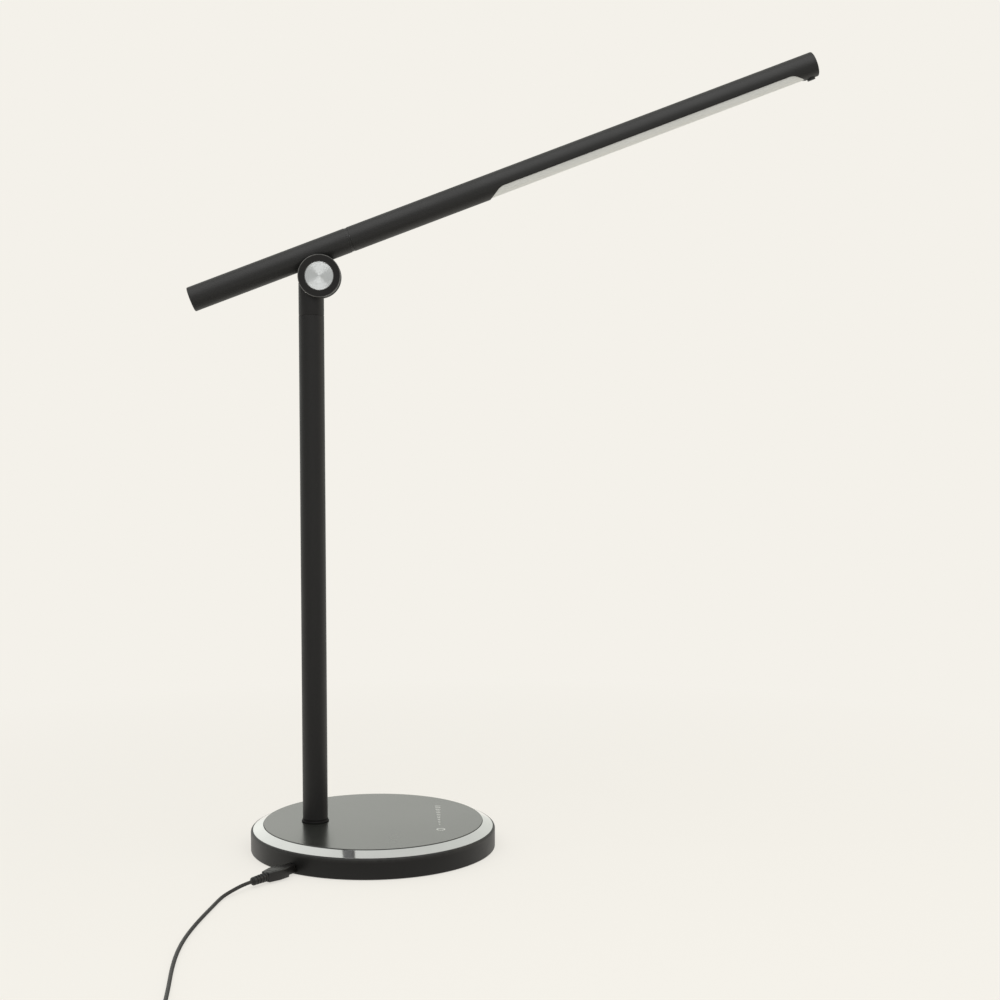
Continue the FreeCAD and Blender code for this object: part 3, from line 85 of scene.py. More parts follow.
# Sizes of the pieces, in millimetres. Places on the plug run outwards from the base's centre, and
# places on the arm run along it from ARM_START.
DECK_TOP, DECK_UNDER = 15.2, 13.0
DECK_HOLE, PLATE_HOLE = 7.1, 8.7
RING_INSET, RING_WIDTH, PLATE_INSET = 1.65, 7.45, 9.4
FOOT_GAP, FOOT_HEIGHT = 0.2, 2.4
PLUG_FACE, GRIP_START, GRIP_SHOULDER, GRIP_END, RELIEF_END = 90.4, 99.4, 108.4, 117.4, 131.2
NECK_LENGTH, NECK_GAP = 28.0, 0.07
BARREL_RADIUS, BARREL_HALF, CHEEK_START = 15.4, 13.0, 5.2
DISC_SEAT, DISC_SEAT_RADIUS = 11.5, 10.3
SADDLE_OVER, SADDLE_RADIUS = 17.1, 9.15
TUBE_WALL = 1.2
REAR_END, TIP_END, CAP_RIM, CAP_GAP = -92.4, 391.7, 2.0, 0.05
SEAM_HALF, SEAM_GAP = 1.0, 0.05
SEAM_ROUND, TUBE_END_ROUND = 0.06, 0.05
WINDOW_START, WINDOW_END, WINDOW_DROP = 135.2, 381.7, 3.0
WINDOW_RAMP, WINDOW_CORNER = np.radians(32.0), 10.0
DIFFUSER_START, DIFFUSER_END = 131.2, 382.13
BUTTON_AT = 385.73

# Free cord, the same points as in the part's source, in millimetres: X and Y from the strain
# relief's end, Z above the table. The coil's centre is measured from the same end.
CORD_START = RELIEF_END * PLUG_WAY + PLUG_HEIGHT * UP
LEAD_ROUTE = [
    (-4.4, -5.5, 4.5), (-10.3, -13.2, 3.5), (-16.2, -20.9, 2.0), (-19.3, -29.0, 1.3), (-21.9, -42.0, 1.25),
    (-25.9, -61.8, 1.25), (-29.9, -83.8, 1.25), (-33.3, -109.3, 1.25), (-34.7, -135.8, 1.25),
    (-34.1, -164.3, 1.25), (-32.2, -194.3, 1.3), (-30.7, -225.3, 1.7),
]
COIL_CENTRE = (-9.228, -258.325)
COIL_RADIUS, COIL_PITCH, COIL_TURNS = 21.5, 3.05, 4.875
COIL_LEVEL, COIL_LAYER = 1.7, 2.95
COIL_STEPS = 16
TAIL_LENGTH = 10.5

# Stage, in metres. The camera is fitted to the photograph's frame.
CAMERA_AT = (0.0135, -1.2866, 0.3530)
CAMERA_TO = (0.09355, -0.0059, 0.25695)
FLOOR_MIDDLE = (0.05, -0.05)
FLOOR_RINGS = (0.0, 0.1, 0.2, 0.4, 0.7, 1.1)
FLOOR_FACETS = 96
FLOOR_GAP = 0.0002

# Points closer than this, in metres, become one, and edges sharper than this angle stay crisp.
MERGE_REACH, SHARP_ANGLE = 2e-7, np.radians(32)


class LampSizes(PropertyGroup):
    """Sizes of the visible pieces."""
    base_radius: FloatProperty(
        name="Base radius", description="Outer radius of the base shell",
        default=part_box("base_shell")[1][0], unit="LENGTH")
    plate_top: FloatProperty(
        name="Plate top", description="Height of the touch plate above the table",
        default=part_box("top_plate")[1][2], unit="LENGTH")
    post_radius: FloatProperty(
        name="Post radius", description="Outer radius of the post",
        default=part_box("post_tube")[1][1], unit="LENGTH")
    arm_radius: FloatProperty(
        name="Arm radius", description="Outer radius of the arm's tubes",
        default=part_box("rear_tube")[1][1], unit="LENGTH")
    broken_edge: FloatProperty(
        name="Broken edge", description="Rounding of the post tube's ends", default=0.15 * MM, unit="LENGTH")
    cord_radius: FloatProperty(
        name="Cord radius", description="Radius of the cord", default=1.25 * MM, unit="LENGTH")
    facets: IntProperty(
        name="Facets", description="Faces round a turned piece", default=128, min=24, max=360)


class LampFinish(PropertyGroup):
    """Colours and gloss of the visible pieces."""
    tube_colour: FloatVectorProperty(
        name="Arm", description="Satin charcoal of the arm", subtype="COLOR",
        default=(0.0120, 0.0115, 0.0108))
    post_colour: FloatVectorProperty(
        name="Post", description="Satin charcoal of the post", subtype="COLOR",
        default=(0.0075, 0.0069, 0.0064))
    shell_colour: FloatVectorProperty(
        name="Base", description="Satin black of the base wall", subtype="COLOR",
        default=(0.0085, 0.0082, 0.0078))
    plate_colour: FloatVectorProperty(
        name="Touch plate", description="Dark touch plate", subtype="COLOR",
        default=(0.0165, 0.0180, 0.0150))
    ring_colour: FloatVectorProperty(
        name="Polished ring", description="Bright metal of the sloping ring", subtype="COLOR",
        default=(0.86, 0.87, 0.87))
    disc_colour: FloatVectorProperty(
        name="Spun disc", description="Spun aluminium of the hinge discs", subtype="COLOR",
        default=(0.93, 0.96, 0.96))
    diffuser_colour: FloatVectorProperty(
        name="Diffuser", description="Frosted strip below the lights", subtype="COLOR",
        default=(0.73, 0.735, 0.72))
    cord_colour: FloatVectorProperty(
        name="Cord", description="Jacket of the cord and the plugs", subtype="COLOR",
        default=(0.013, 0.012, 0.011))
    tube_roughness: FloatProperty(
        name="Tube roughness", description="Roughness of the satin tubes", default=0.48, subtype="FACTOR",
        min=0.05, max=1.0)
    plate_roughness: FloatProperty(
        name="Plate roughness", description="Roughness of the touch plate", default=0.26, subtype="FACTOR",
        min=0.02, max=1.0)


class LampStage(PropertyGroup):
    """Backdrop, light and lens."""
    backdrop: FloatVectorProperty(
        name="Backdrop", description="Colour of the floor and the backdrop", subtype="COLOR",
        default=(0.9047, 0.8796, 0.8228))
    lens: FloatProperty(
        name="Lens", description="Focal length on a 36 mm wide sensor", default=63.405, unit="CAMERA")
    key_power: FloatProperty(
        name="Key light", description="Power of the overhead softbox", default=24.5, unit="POWER")


def sizes():
    """The scene's size settings."""
    return bpy.context.scene.lamp_sizes


def finishes():
    """The scene's finish settings."""
    return bpy.context.scene.lamp_finish


# Surfaces as arrays, in millimetres.

def broken_corners(corners, steps=5):
    """Profile through corners (a, b, rounding), and a mark that is 1 on the rounded stretches.

    A corner with a rounding becomes an arc: centre + radius * (cos, sin) between the two points
    where the arc touches the sides, which lie radius / tan(half the corner's angle) from the corner.
    A point just beyond each end of the arc keeps the sides flat.
    """
    points = np.array([corner[:2] for corner in corners], float)
    count = len(points)
    rows, marks = [], []
    for index, corner in enumerate(corners):
        radius = corner[2] if len(corner) > 2 else 0.0
        if radius == 0:
            rows.append(points[index:index + 1])
            marks.append([0.0])
            continue
        sides = np.stack((points[index - 1], points[(index + 1) % count])) - points[index]
        lengths = np.linalg.norm(sides, axis=1, keepdims=True)
        ways = sides / lengths
        half = np.arccos(np.clip(ways[0] @ ways[1], -1, 1)) / 2
        reach = radius / np.tan(half)
        middle = ways.sum(0) / np.linalg.norm(ways.sum(0))
        centre = points[index] + middle * radius / np.sin(half)
        touch = points[index] + ways * reach
        start, finish = np.arctan2(*(touch - centre).T[::-1])
        sweep = (finish - start + np.pi) % (2 * np.pi) - np.pi
        angles = start + sweep * np.linspace(0, 1, steps + 1)
        arc = centre + radius * np.stack((np.cos(angles), np.sin(angles)), 1)
        hold = touch + ways * np.minimum(radius, 0.3 * (lengths - reach))
        rows.append(np.concatenate((hold[:1], arc, hold[1:])))
        marks.append(np.concatenate(([0.0], np.ones(steps + 1), [0.0])))
    return np.concatenate(rows), np.concatenate(marks)


def patch(points, marks=0.0, wrap=(False, True), caps=True):
    """A grid of points with its edge marks.

    It also says whether each parameter closes, and whether open ends get a face.
    """
    return {"points": points, "marks": np.broadcast_to(marks, points.shape[:2]), "wrap": wrap, "caps": caps}


def sheet(points, marks=0.0):
    """A patch that is open on all sides."""
    return patch(points, marks, (False, False), False)


def round_angles():
    """Angles of the facets round a turned piece."""
    return np.linspace(0, 2 * np.pi, sizes().facets, endpoint=False)


def turned(corners, about="z", closed=True, shift=(0.0, 0.0, 0.0)):
    """Surface of revolution: (r cos t, r sin t) across the axis and h along it.

    Corners are (radius, along, rounding). A closed profile is a loop. An open one starts and ends on the
    axis.
    """
    profile, marks = broken_corners(corners)
    angles = round_angles()
    across, over = profile[:, :1] * np.cos(angles), profile[:, :1] * np.sin(angles)
    along = np.broadcast_to(profile[:, 1:], across.shape)
    order = {"z": (across, over, along), "x": (along, across, over), "y": (across, along, over)}[about]
    return patch(np.stack(order, -1) + np.array(shift), marks[:, None], (closed, True), False)


def pierced(corners, hole_radius, hole_x, top, bottom):
    """Turned disc with a round hole off its centre.

    Rings run from the hole's upper edge over the turned profile to its lower edge and close there:
    each ring is centre + radius * (cos t, sin t) at its own height.
    """
    profile, marks = broken_corners(corners)
    radius = np.concatenate(([hole_radius], profile[:, 0], [hole_radius]))[:, None]
    height = np.concatenate(([top], profile[:, 1], [bottom]))[:, None]
    centre = np.zeros_like(radius)
    centre[[0, -1]] = hole_x
    angles = round_angles()
    rings = (centre + radius * np.cos(angles), radius * np.sin(angles), height + 0 * angles)
    return patch(np.stack(rings, -1), np.concatenate(([0], marks, [0]))[:, None], (True, True), False)


def rounded_section(half_width, half_tall, corner, steps=6):
    """Rounded rectangle as (across, up) points.

    They are four corner centres plus corner * (cos, sin) of a quarter turn each.
    """
    signs = np.array(((1, 1), (-1, 1), (-1, -1), (1, -1)))
    centres = signs * (half_width - corner, half_tall - corner)
    angles = np.linspace(0, np.pi / 2, steps + 1) + np.arange(4)[:, None] * np.pi / 2
    return (centres[:, None] + corner * np.stack((np.cos(angles), np.sin(angles)), -1)).reshape(-1, 2)


def moulded_bar(stations, corner, soft, shift=(0.0, 0.0, 0.0), steps=4, least_corner=0.01):
    """Bar along x through stations (place, half width, half height) with rounded long edges and soft ends.

    Sections lie straight between the stations. At each end the section shrinks by soft * (1 - sin t) while
    the place moves in by soft * (1 - cos t), t from 0 at the end to a quarter turn.
    """
    stations = np.array(stations, float)
    turn = np.linspace(0, np.pi / 2, steps + 1)
    start, finish = stations[0, 0], stations[-1, 0]
    places = np.concatenate((start + soft * (1 - np.cos(turn)), stations[1:-1, 0],
                             finish - soft * (1 - np.cos(turn[::-1]))))
    insets = soft * np.concatenate((1 - np.sin(turn), np.zeros(len(stations) - 2), 1 - np.sin(turn[::-1])))
    widths, heights = (np.interp(places, stations[:, 0], stations[:, column]) - insets for column in (1, 2))
    sections = np.stack([rounded_section(width, tall, max(corner - inset, least_corner))
                         for width, tall, inset in zip(widths, heights, insets)])
    along = np.broadcast_to(places[:, None, None], sections.shape[:2] + (1,))
    marks = np.where(insets > 0, 1.0, 0.0)[:, None]
    return patch(np.concatenate((along, sections), -1) + np.array(shift), marks)


def grid_quads(rows, columns, wrap):
    """Faces that each join four neighbours of a grid, and the rows and columns of their corners."""
    low, left = np.ogrid[:rows if wrap[0] else rows - 1, :columns if wrap[1] else columns - 1]
    corners = [(low, left), (low, left + 1), (low + 1, left + 1), (low + 1, left)]
    quads = np.stack([row % rows * columns + column % columns for row, column in corners], -1)
    return quads.reshape(-1, 4), corners


def piece(name, patches, place, material, body, replaced=()):
    """Mesh object of one or more patches that are drawn in a piece's own axes.

    Doubles are merged, so seams, poles and joined patches close, and the normals are turned outwards.
    """
    vertices, faces, marks, layout = [], [], [], []
    offset = 0
    for part in patches:
        points, wrap = part["points"], part["wrap"]
        rows, columns = points.shape[:2]
        quads, corners = grid_quads(rows, columns, wrap)
        faces += (quads + offset).tolist()
        spread = [np.stack(np.broadcast_arrays(column / columns, row / rows), -1) for row, column in corners]
        layout.append(np.stack(spread, 2).reshape(-1, 2))
        if part["caps"] and not wrap[0]:
            ring = np.arange(columns) + offset
            faces += [ring[::-1].tolist(), (ring + (rows - 1) * columns).tolist()]
            layout.append(np.zeros((2 * columns, 2)))
        vertices.append(points.reshape(-1, 3))
        marks.append(part["marks"].reshape(-1))
        offset += rows * columns
    origin, *axes = place
    mesh = bpy.data.meshes.new(name)
    mesh.from_pydata((origin + np.concatenate(vertices) * MM @ np.array(axes)).tolist(), [], faces)
    edge = mesh.attributes.new("edge", "FLOAT", "POINT")
    edge.data.foreach_set("value", np.concatenate(marks).astype(np.float32))
    surface = mesh.uv_layers.new(name="surface")
    surface.data.foreach_set("uv", np.concatenate(layout).astype(np.float32).reshape(-1))
    shape = bmesh.new()
    shape.from_mesh(mesh)
    bmesh.ops.remove_doubles(shape, verts=shape.verts, dist=MERGE_REACH)
    bmesh.ops.recalc_face_normals(shape, faces=shape.faces)
    shape.to_mesh(mesh)
    shape.free()
    mesh.polygons.foreach_set("use_smooth", np.ones(len(mesh.polygons), bool))
    mesh.set_sharp_from_angle(angle=SHARP_ANGLE)
    mesh.materials.append(material)
    thing = bpy.data.objects.new(name, mesh)
    bpy.context.scene.collection.objects.link(thing)
    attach(thing, body)
    if replaced:
        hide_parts(*replaced)


# Finishes.

MIX_A, MIX_B, MIX_OUT = 6, 7, 2
DUST_COLOUR = (0.32, 0.31, 0.29, 1.0)
WHITE = (1.0, 1.0, 1.0, 1.0)


def node(tree, kind, inputs=None, **settings):
    """Shader node with settings by name and inputs by name or number; a socket among them is linked."""
    made = tree.nodes.new(kind)
    for name, setting in settings.items():
        setattr(made, name, setting)
    for key, given in (inputs or {}).items():
        if isinstance(given, bpy.types.NodeSocket):
            tree.links.new(given, made.inputs[key])
        else:
            made.inputs[key].default_value = given
    return made


def worked(tree, operation, first, second):
    """Number worked out from two numbers."""
    return node(tree, "ShaderNodeMath", {0: first, 1: second}, operation=operation).outputs[0]


def ranged(tree, source, low, high, to_low=0.0, to_high=1.0, **settings):
    """Number mapped from one range to another."""
    limits = {"From Min": low, "From Max": high, "To Min": to_low, "To Max": to_high}
    return node(tree, "ShaderNodeMapRange", {"Value": source, **limits}, **settings).outputs["Result"]


def blend(tree, share, first, second):
    """Colour between two colours by a share."""
    made = node(tree, "ShaderNodeMix", {0: share, MIX_A: first, MIX_B: second}, data_type="RGBA")
    return made.outputs[MIX_OUT]


def noise(tree, place, scale, detail, **more):
    """Noise at a place, with more inputs by name."""
    inputs = {"Vector": place, "Scale": scale, "Detail": detail, **more}
    return node(tree, "ShaderNodeTexNoise", inputs).outputs["Fac"]


def effect_group(name, inputs, outputs):
    """New shader node group with inputs (name, default) and number outputs, and its two end nodes.

    A default of three numbers makes a vector input.
    """
    group = bpy.data.node_groups.new(name, "ShaderNodeTree")
    for label, given in inputs:
        kind = "NodeSocketVector" if isinstance(given, tuple) else "NodeSocketFloat"
        group.interface.new_socket(label, in_out="INPUT", socket_type=kind).default_value = given
    for label in outputs:
        group.interface.new_socket(label, in_out="OUTPUT", socket_type="NodeSocketFloat")
    return group, group.nodes.new("NodeGroupInput").outputs, group.nodes.new("NodeGroupOutput").inputs


def fine_grain():
    """Group: the fine texture of a coat as a height, and a slow drift of its gloss.

    Both are noise on Object coordinates.
    """
    if "Fine grain" in bpy.data.node_groups:
        return bpy.data.node_groups["Fine grain"]
    group, given, result = effect_group("Fine grain", [("Grain scale", 2600.0), ("Drift scale", 30.0)],
                                        ["Height", "Drift"])
    place = node(group, "ShaderNodeTexCoord").outputs["Object"]
    for scale, detail, output in (("Grain scale", 2.0, "Height"), ("Drift scale", 4.0, "Drift")):
        group.links.new(noise(group, place, given[scale], detail), result[output])
    return group


def edge_wear_and_highlight():
    """Group: where edges are scuffed bright, and on the hinge barrel's rim a painted highlight: the edge
    attribute times a patchy noise times an amount.
    """
    if "Edge wear" in bpy.data.node_groups:
        return bpy.data.node_groups["Edge wear"]
    group, given, result = effect_group("Edge wear", [("Amount", 0.5), ("Patch scale", 300.0)], ["Mask"])
    place = node(group, "ShaderNodeTexCoord").outputs["Object"]
    edge = node(group, "ShaderNodeAttribute", attribute_name="edge").outputs["Fac"]
    patchy = ranged(group, noise(group, place, given["Patch scale"], 3.0), 0.3, 0.7, 0.35, 1.0)
    scuffed_and_highlight = worked(group, "MULTIPLY", patchy, edge)
    group.links.new(worked(group, "MULTIPLY", scuffed_and_highlight, given["Amount"]), result["Mask"])
    return group


def fine_dust():
    """Group: a thin veil of dust where a surface faces up: the normal's height times a fine noise."""
    if "Fine dust" in bpy.data.node_groups:
        return bpy.data.node_groups["Fine dust"]
    group, given, result = effect_group("Fine dust", [("Amount", 0.1), ("Speck scale", 900.0)], ["Mask"])
    place = node(group, "ShaderNodeTexCoord").outputs["Object"]
    normal = node(group, "ShaderNodeNewGeometry").outputs["Normal"]
    height = node(group, "ShaderNodeSeparateXYZ", {0: normal}).outputs["Z"]
    facing = ranged(group, height, 0.55, 1.0)
    specks = ranged(group, noise(group, place, given["Speck scale"], 6.0, Roughness=0.7), 0.45, 0.8)
    lying = worked(group, "MULTIPLY", facing, specks)
    group.links.new(worked(group, "MULTIPLY", lying, given["Amount"]), result["Mask"])
    return group


def turned_lines():
    """Group: the fine rings that a lathe tool leaves: one-dimensional noise of the distance from an axis.

    The axis passes through a centre; a flatten of 0 on one axis takes that axis out of the distance.
    """
    if "Turned lines" in bpy.data.node_groups:
        return bpy.data.node_groups["Turned lines"]
    inputs = [("Centre", (0.0, 0.0, 0.0)), ("Flatten", (0.0, 0.0, 0.0)), ("Line scale", 4000.0)]
    group, given, result = effect_group("Turned lines", inputs, ["Lines"])
    place = node(group, "ShaderNodeTexCoord").outputs["Object"]
    offset = node(group, "ShaderNodeVectorMath", {0: place, 1: given["Centre"]}, operation="SUBTRACT")
    flat = node(group, "ShaderNodeVectorMath", {0: offset.outputs[0], 1: given["Flatten"]},
                operation="MULTIPLY")
    distance = node(group, "ShaderNodeVectorMath", {0: flat.outputs[0]}, operation="LENGTH").outputs["Value"]
    lines = node(group, "ShaderNodeTexNoise", {"W": distance, "Scale": given["Line scale"], "Detail": 3.0},
                 noise_dimensions="1D")
    group.links.new(lines.outputs["Fac"], result["Lines"])
    return group


def placed(tree, group, **inputs):
    """An effect group put into a material with its own values; names use _ for a space."""
    made = node(tree, "ShaderNodeGroup", node_tree=group)
    for name, given in inputs.items():
        made.inputs[name.replace("_", " ").capitalize()].default_value = given
    return made.outputs


def tinted(colour, share):
    """A colour made darker or paler by a share, with alpha."""
    return (*[min(channel * share, 1.0) for channel in colour], 1.0)


def fresh_material(name):
    """New node material, its tree and its shader."""
    material = bpy.data.materials.new(name)
    material.use_nodes = True
    return material, material.node_tree, material.node_tree.nodes["Principled BSDF"]


def feed(tree, surface, **sources):
    """Link sockets to a shader's inputs; names use _ for a space."""
    for label, source in sources.items():
        tree.links.new(source, surface.inputs[label.replace("_", " ")])


def coat(name, colour, roughness, worn_and_highlight=(0.1, 0.1, 0.1), wear_and_highlight=0.4, dust=0.0, spread=0.06, grain=2600.0,
         drift=30.0, bump=0.05, tone=0.12, **constants):
    """Coated or moulded finish.

    Grain goes to the bump and drift to gloss and tone, with paler scuffed edges (a painted highlight on the
    hinge barrel's rim) and a veil of dust.
    """
    if name in bpy.data.materials:
        return bpy.data.materials[name]
    material, tree, surface = fresh_material(name)
    for label, given in constants.items():
        surface.inputs[label.replace("_", " ")].default_value = given
    texture = placed(tree, fine_grain(), grain_scale=grain, drift_scale=drift)
    shown = blend(tree, texture["Drift"], tinted(colour, 1 - tone), tinted(colour, 1 + tone))
    shown = blend(tree, placed(tree, edge_wear_and_highlight(), amount=wear_and_highlight)["Mask"], shown, (*worn_and_highlight, 1))
    if dust:
        shown = blend(tree, placed(tree, fine_dust(), amount=dust)["Mask"], shown, DUST_COLOUR)
    gloss = ranged(tree, texture["Drift"], 0.25, 0.75, roughness - spread, roughness + spread)
    relief = node(tree, "ShaderNodeBump", {"Strength": bump, "Distance": 0.0002, "Height": texture["Height"]})
    feed(tree, surface, Base_Color=shown, Roughness=gloss, Normal=relief.outputs["Normal"])
    return material


def bare_metal(name, colour, roughness, centre=(0.0, 0.0, 0.0), flatten=(1.0, 1.0, 0.0), lines=4000.0,
               bump=0.03, spread=0.05, anisotropic=0.0):
    """Bare metal: turned lines in the bump and the gloss, and a slow drift of tone."""
    if name in bpy.data.materials:
        return bpy.data.materials[name]
    material, tree, surface = fresh_material(name)
    surface.inputs["Metallic"].default_value = 1.0
    surface.inputs["Anisotropic"].default_value = anisotropic
    texture = placed(tree, fine_grain(), grain_scale=1800.0, drift_scale=60.0)
    cut = placed(tree, turned_lines(), centre=centre, flatten=flatten, line_scale=lines)["Lines"]
    toned = blend(tree, texture["Drift"], tinted(colour, 0.94), tinted(colour, 1.05))
    gloss = ranged(tree, cut, 0.25, 0.75, roughness - spread, roughness + spread)
    relief = node(tree, "ShaderNodeBump", {"Strength": bump, "Distance": 0.0001, "Height": cut})
    if anisotropic:
        surface.inputs["Anisotropic Rotation"].default_value = 0.25
        tangent = node(tree, "ShaderNodeTangent", direction_type="UV_MAP", uv_map="surface")
        feed(tree, surface, Tangent=tangent.outputs["Tangent"])
    feed(tree, surface, Base_Color=toned, Roughness=gloss, Normal=relief.outputs["Normal"])
    return material


def arm_coat():
    """Satin charcoal of the arm's tubes and caps."""
    look = finishes()
    return coat("Charcoal arm", look.tube_colour, look.tube_roughness, worn_and_highlight=(0.03, 0.029, 0.028), wear_and_highlight=0.3,
                dust=0.01, Specular_IOR_Level=0.5)


def post_coat():
    """Darker satin charcoal of the post and the neck."""
    look = finishes()
    return coat("Charcoal post", look.post_colour, look.tube_roughness, worn_and_highlight=(0.05, 0.046, 0.042), wear_and_highlight=0.3,
                Specular_IOR_Level=0.5)


def foot_coat_with_painted_shade():
    """Dull charcoal of the post's foot collar, darker than the post: painted shade at the post's foot."""
    # Painted shade: the post's colour at 0.6 darkens the collar where the post meets the plate.
    return coat("Foot coat", tinted(finishes().post_colour, 0.6)[:3], 0.50, worn_and_highlight=(0.006, 0.006, 0.0055),
                wear_and_highlight=0.2, Specular_IOR_Level=0.12)


def plate_coat():
    """Dark touch plate under a satin clear coat."""
    look = finishes()
    return coat("Touch plate", look.plate_colour, look.plate_roughness, worn_and_highlight=(0.07, 0.07, 0.068), wear_and_highlight=0.5,
                dust=0.02, spread=0.02, drift=12.0, bump=0.02, tone=0.06, Specular_IOR_Level=1.0,
                Coat_Weight=0.6, Coat_Roughness=0.26, Specular_Tint=(0.96, 1.0, 0.95, 1.0))


def plug_coat():
    """Moulded black plastic of the plugs and reliefs."""
    return coat("Plug plastic", tinted(finishes().cord_colour, 0.6)[:3], 0.34, worn_and_highlight=(0.05, 0.05, 0.05),
                wear_and_highlight=0.4, grain=1500.0, bump=0.10)


def aimed(place, target):
    """Rotation that turns a camera or a softbox at a place towards a target."""
    return (Vector(target) - Vector(place)).to_track_quat("-Z", "Y").to_euler()


class LAMP_OT_stage(Operator):
    """Build the camera, floor, softboxes and backdrop"""
    bl_idname = "lamp.stage"
    bl_label = "Stage"

    def execute(self, context):
        stage = context.scene.lamp_stage
        lens = bpy.data.cameras.new("photo_camera")
        lens.lens, lens.sensor_width = stage.lens, 36.0
        lens.clip_start, lens.clip_end = 0.05, 30.0
        camera = bpy.data.objects.new("photo_camera", lens)
        camera.location = CAMERA_AT
        camera.rotation_euler = aimed(CAMERA_AT, CAMERA_TO)
        context.scene.collection.objects.link(camera)
        context.scene.camera = camera
        context.scene.view_settings.view_transform = "Standard"
        self.add_floor(context.scene, stage)
        self.add_lights(context.scene, stage)
        self.add_world(context.scene, stage)
        return {"FINISHED"}

    def add_floor(self, scene, stage):
        """Round floor: rings of growing radius about the lamp, its edge lost in the backdrop."""
        radius = np.array(FLOOR_RINGS)[:, None]
        angles = np.linspace(0, 2 * np.pi, FLOOR_FACETS, endpoint=False)
        points = np.stack((FLOOR_MIDDLE[0] + radius * np.cos(angles),
                           FLOOR_MIDDLE[1] + radius * np.sin(angles), 0 * radius * angles), -1)
        quads, _ = grid_quads(len(FLOOR_RINGS), FLOOR_FACETS, (False, True))
        mesh = bpy.data.meshes.new("floor")
        mesh.from_pydata(points.reshape(-1, 3).tolist(), [], quads.tolist())
        mesh.materials.append(self.floor_finish(stage))
        floor = bpy.data.objects.new("floor", mesh)
        floor.location.z = -FLOOR_GAP
        scene.collection.objects.link(floor)

    def floor_finish(self, stage):
        """Pale floor: the backdrop's colour and a part of the lamp's shadow to the camera.

        In reflections it is dimmer in front of the lamp: painted shade that stands in for the floor's shade
        there.
        """
        material = bpy.data.materials.new("Pale floor")
        material.use_nodes = True
        tree = material.node_tree
        tree.nodes.clear()
        colour = (*stage.backdrop, 1.0)
        place = node(tree, "ShaderNodeTexCoord").outputs["Object"]
        centred = node(tree, "ShaderNodeVectorMath", {0: place, 1: (*FLOOR_MIDDLE, 0.0)},
                       operation="SUBTRACT")
        distance = node(tree, "ShaderNodeVectorMath", {0: centred.outputs[0]}, operation="LENGTH")
        fade = ranged(tree, distance.outputs["Value"], 0.25, 0.75, 0.72, 1.0)
        path = node(tree, "ShaderNodeLightPath").outputs
        depth = node(tree, "ShaderNodeSeparateXYZ", {0: place}).outputs["Y"]
        # Painted shade: for reflections the floor's strength falls to 0.35 in a band in front of the lamp.
        front = node(tree, "ShaderNodeValToRGB", {0: ranged(tree, depth, -1.1, -0.02)})
        for spot, dim in ((0.27, 1.0), (0.5, 0.35), (0.82, 0.35)):
            front.color_ramp.elements.new(spot).color = (dim, dim, dim, 1.0)
        for end in (0, -1):
            front.color_ramp.elements[end].color = WHITE
        direct = worked(tree, "MULTIPLY", path["Is Camera Ray"], fade)
        bounced = worked(tree, "MAXIMUM", path["Is Glossy Ray"], path["Is Transmission Ray"])
        level = node(tree, "ShaderNodeMix", {0: bounced, 2: 1.0, 3: front.outputs["Color"]},
                     data_type="FLOAT")
        lit = node(tree, "ShaderNodeBsdfDiffuse", {"Color": colour})
        flat = node(tree, "ShaderNodeEmission", {"Color": colour, "Strength": level.outputs[0]})
        mixed = node(tree, "ShaderNodeMixShader", {
            0: worked(tree, "MAXIMUM", direct, bounced), 1: lit.outputs[0], 2: flat.outputs[0]})
        node(tree, "ShaderNodeOutputMaterial", {"Surface": mixed.outputs[0]})
        return material

    def add_lights(self, scene, stage):
        """Softboxes: a wide one overhead, a small warm one on the right."""
        softboxes = (
            ("overhead_softbox", stage.key_power, 2.6, 2.4,
             (0.15, -1.15, 1.65), (0.15, -1.149, 0.35), (1, 1, 1)),
            ("right_softbox", 1.8, 0.5, 1.0,
             (1.45, 0.25, 0.8), (0.0, 0.0, 0.3), (1, 0.82, 0.62)),
        )
        for name, power, wide, deep, place, target, tint in softboxes:
            light = bpy.data.lights.new(name, "AREA")
            light.shape, light.size, light.size_y, light.energy = "RECTANGLE", wide, deep, power
            light.color = tint
            lamp = bpy.data.objects.new(name, light)
            lamp.location = place
            lamp.rotation_euler = aimed(place, target)
            scene.collection.objects.link(lamp)

    def add_world(self, scene, stage):
        """Backdrop: even for the camera.

        For light and reflections it is pale behind the lamp, palest on the left, and dim above and on the
        camera's side.
        """
        left, right, front = (0.97, 0.98, 0.92, 1), (0.74, 0.75, 0.695, 1), (0.50, 0.50, 0.485, 1)
        world = bpy.data.worlds.new("backdrop")
        world.use_nodes = True
        tree = world.node_tree
        tree.nodes.clear()
        around = node(tree, "ShaderNodeTexCoord").outputs["Generated"]
        way = node(tree, "ShaderNodeSeparateXYZ", {0: around}).outputs
        behind = ranged(tree, way["Y"], -0.1, 0.75, interpolation_type="SMOOTHSTEP")
        under = ranged(tree, way["Z"], 0.2, 0.6, 1.0, 0.66)
        wall = worked(tree, "MULTIPLY", behind, under)
        lit = blend(tree, ranged(tree, way["X"], -0.3, 0.3), left, right)
        room = blend(tree, wall, front, lit)
        path = node(tree, "ShaderNodeLightPath").outputs
        shown = blend(tree, path["Is Camera Ray"], room, (*stage.backdrop, 1.0))
        sky = node(tree, "ShaderNodeBackground", {"Color": shown, "Strength": 1.0})
        node(tree, "ShaderNodeOutputWorld", {"Surface": sky.outputs[0]})
        scene.world = world


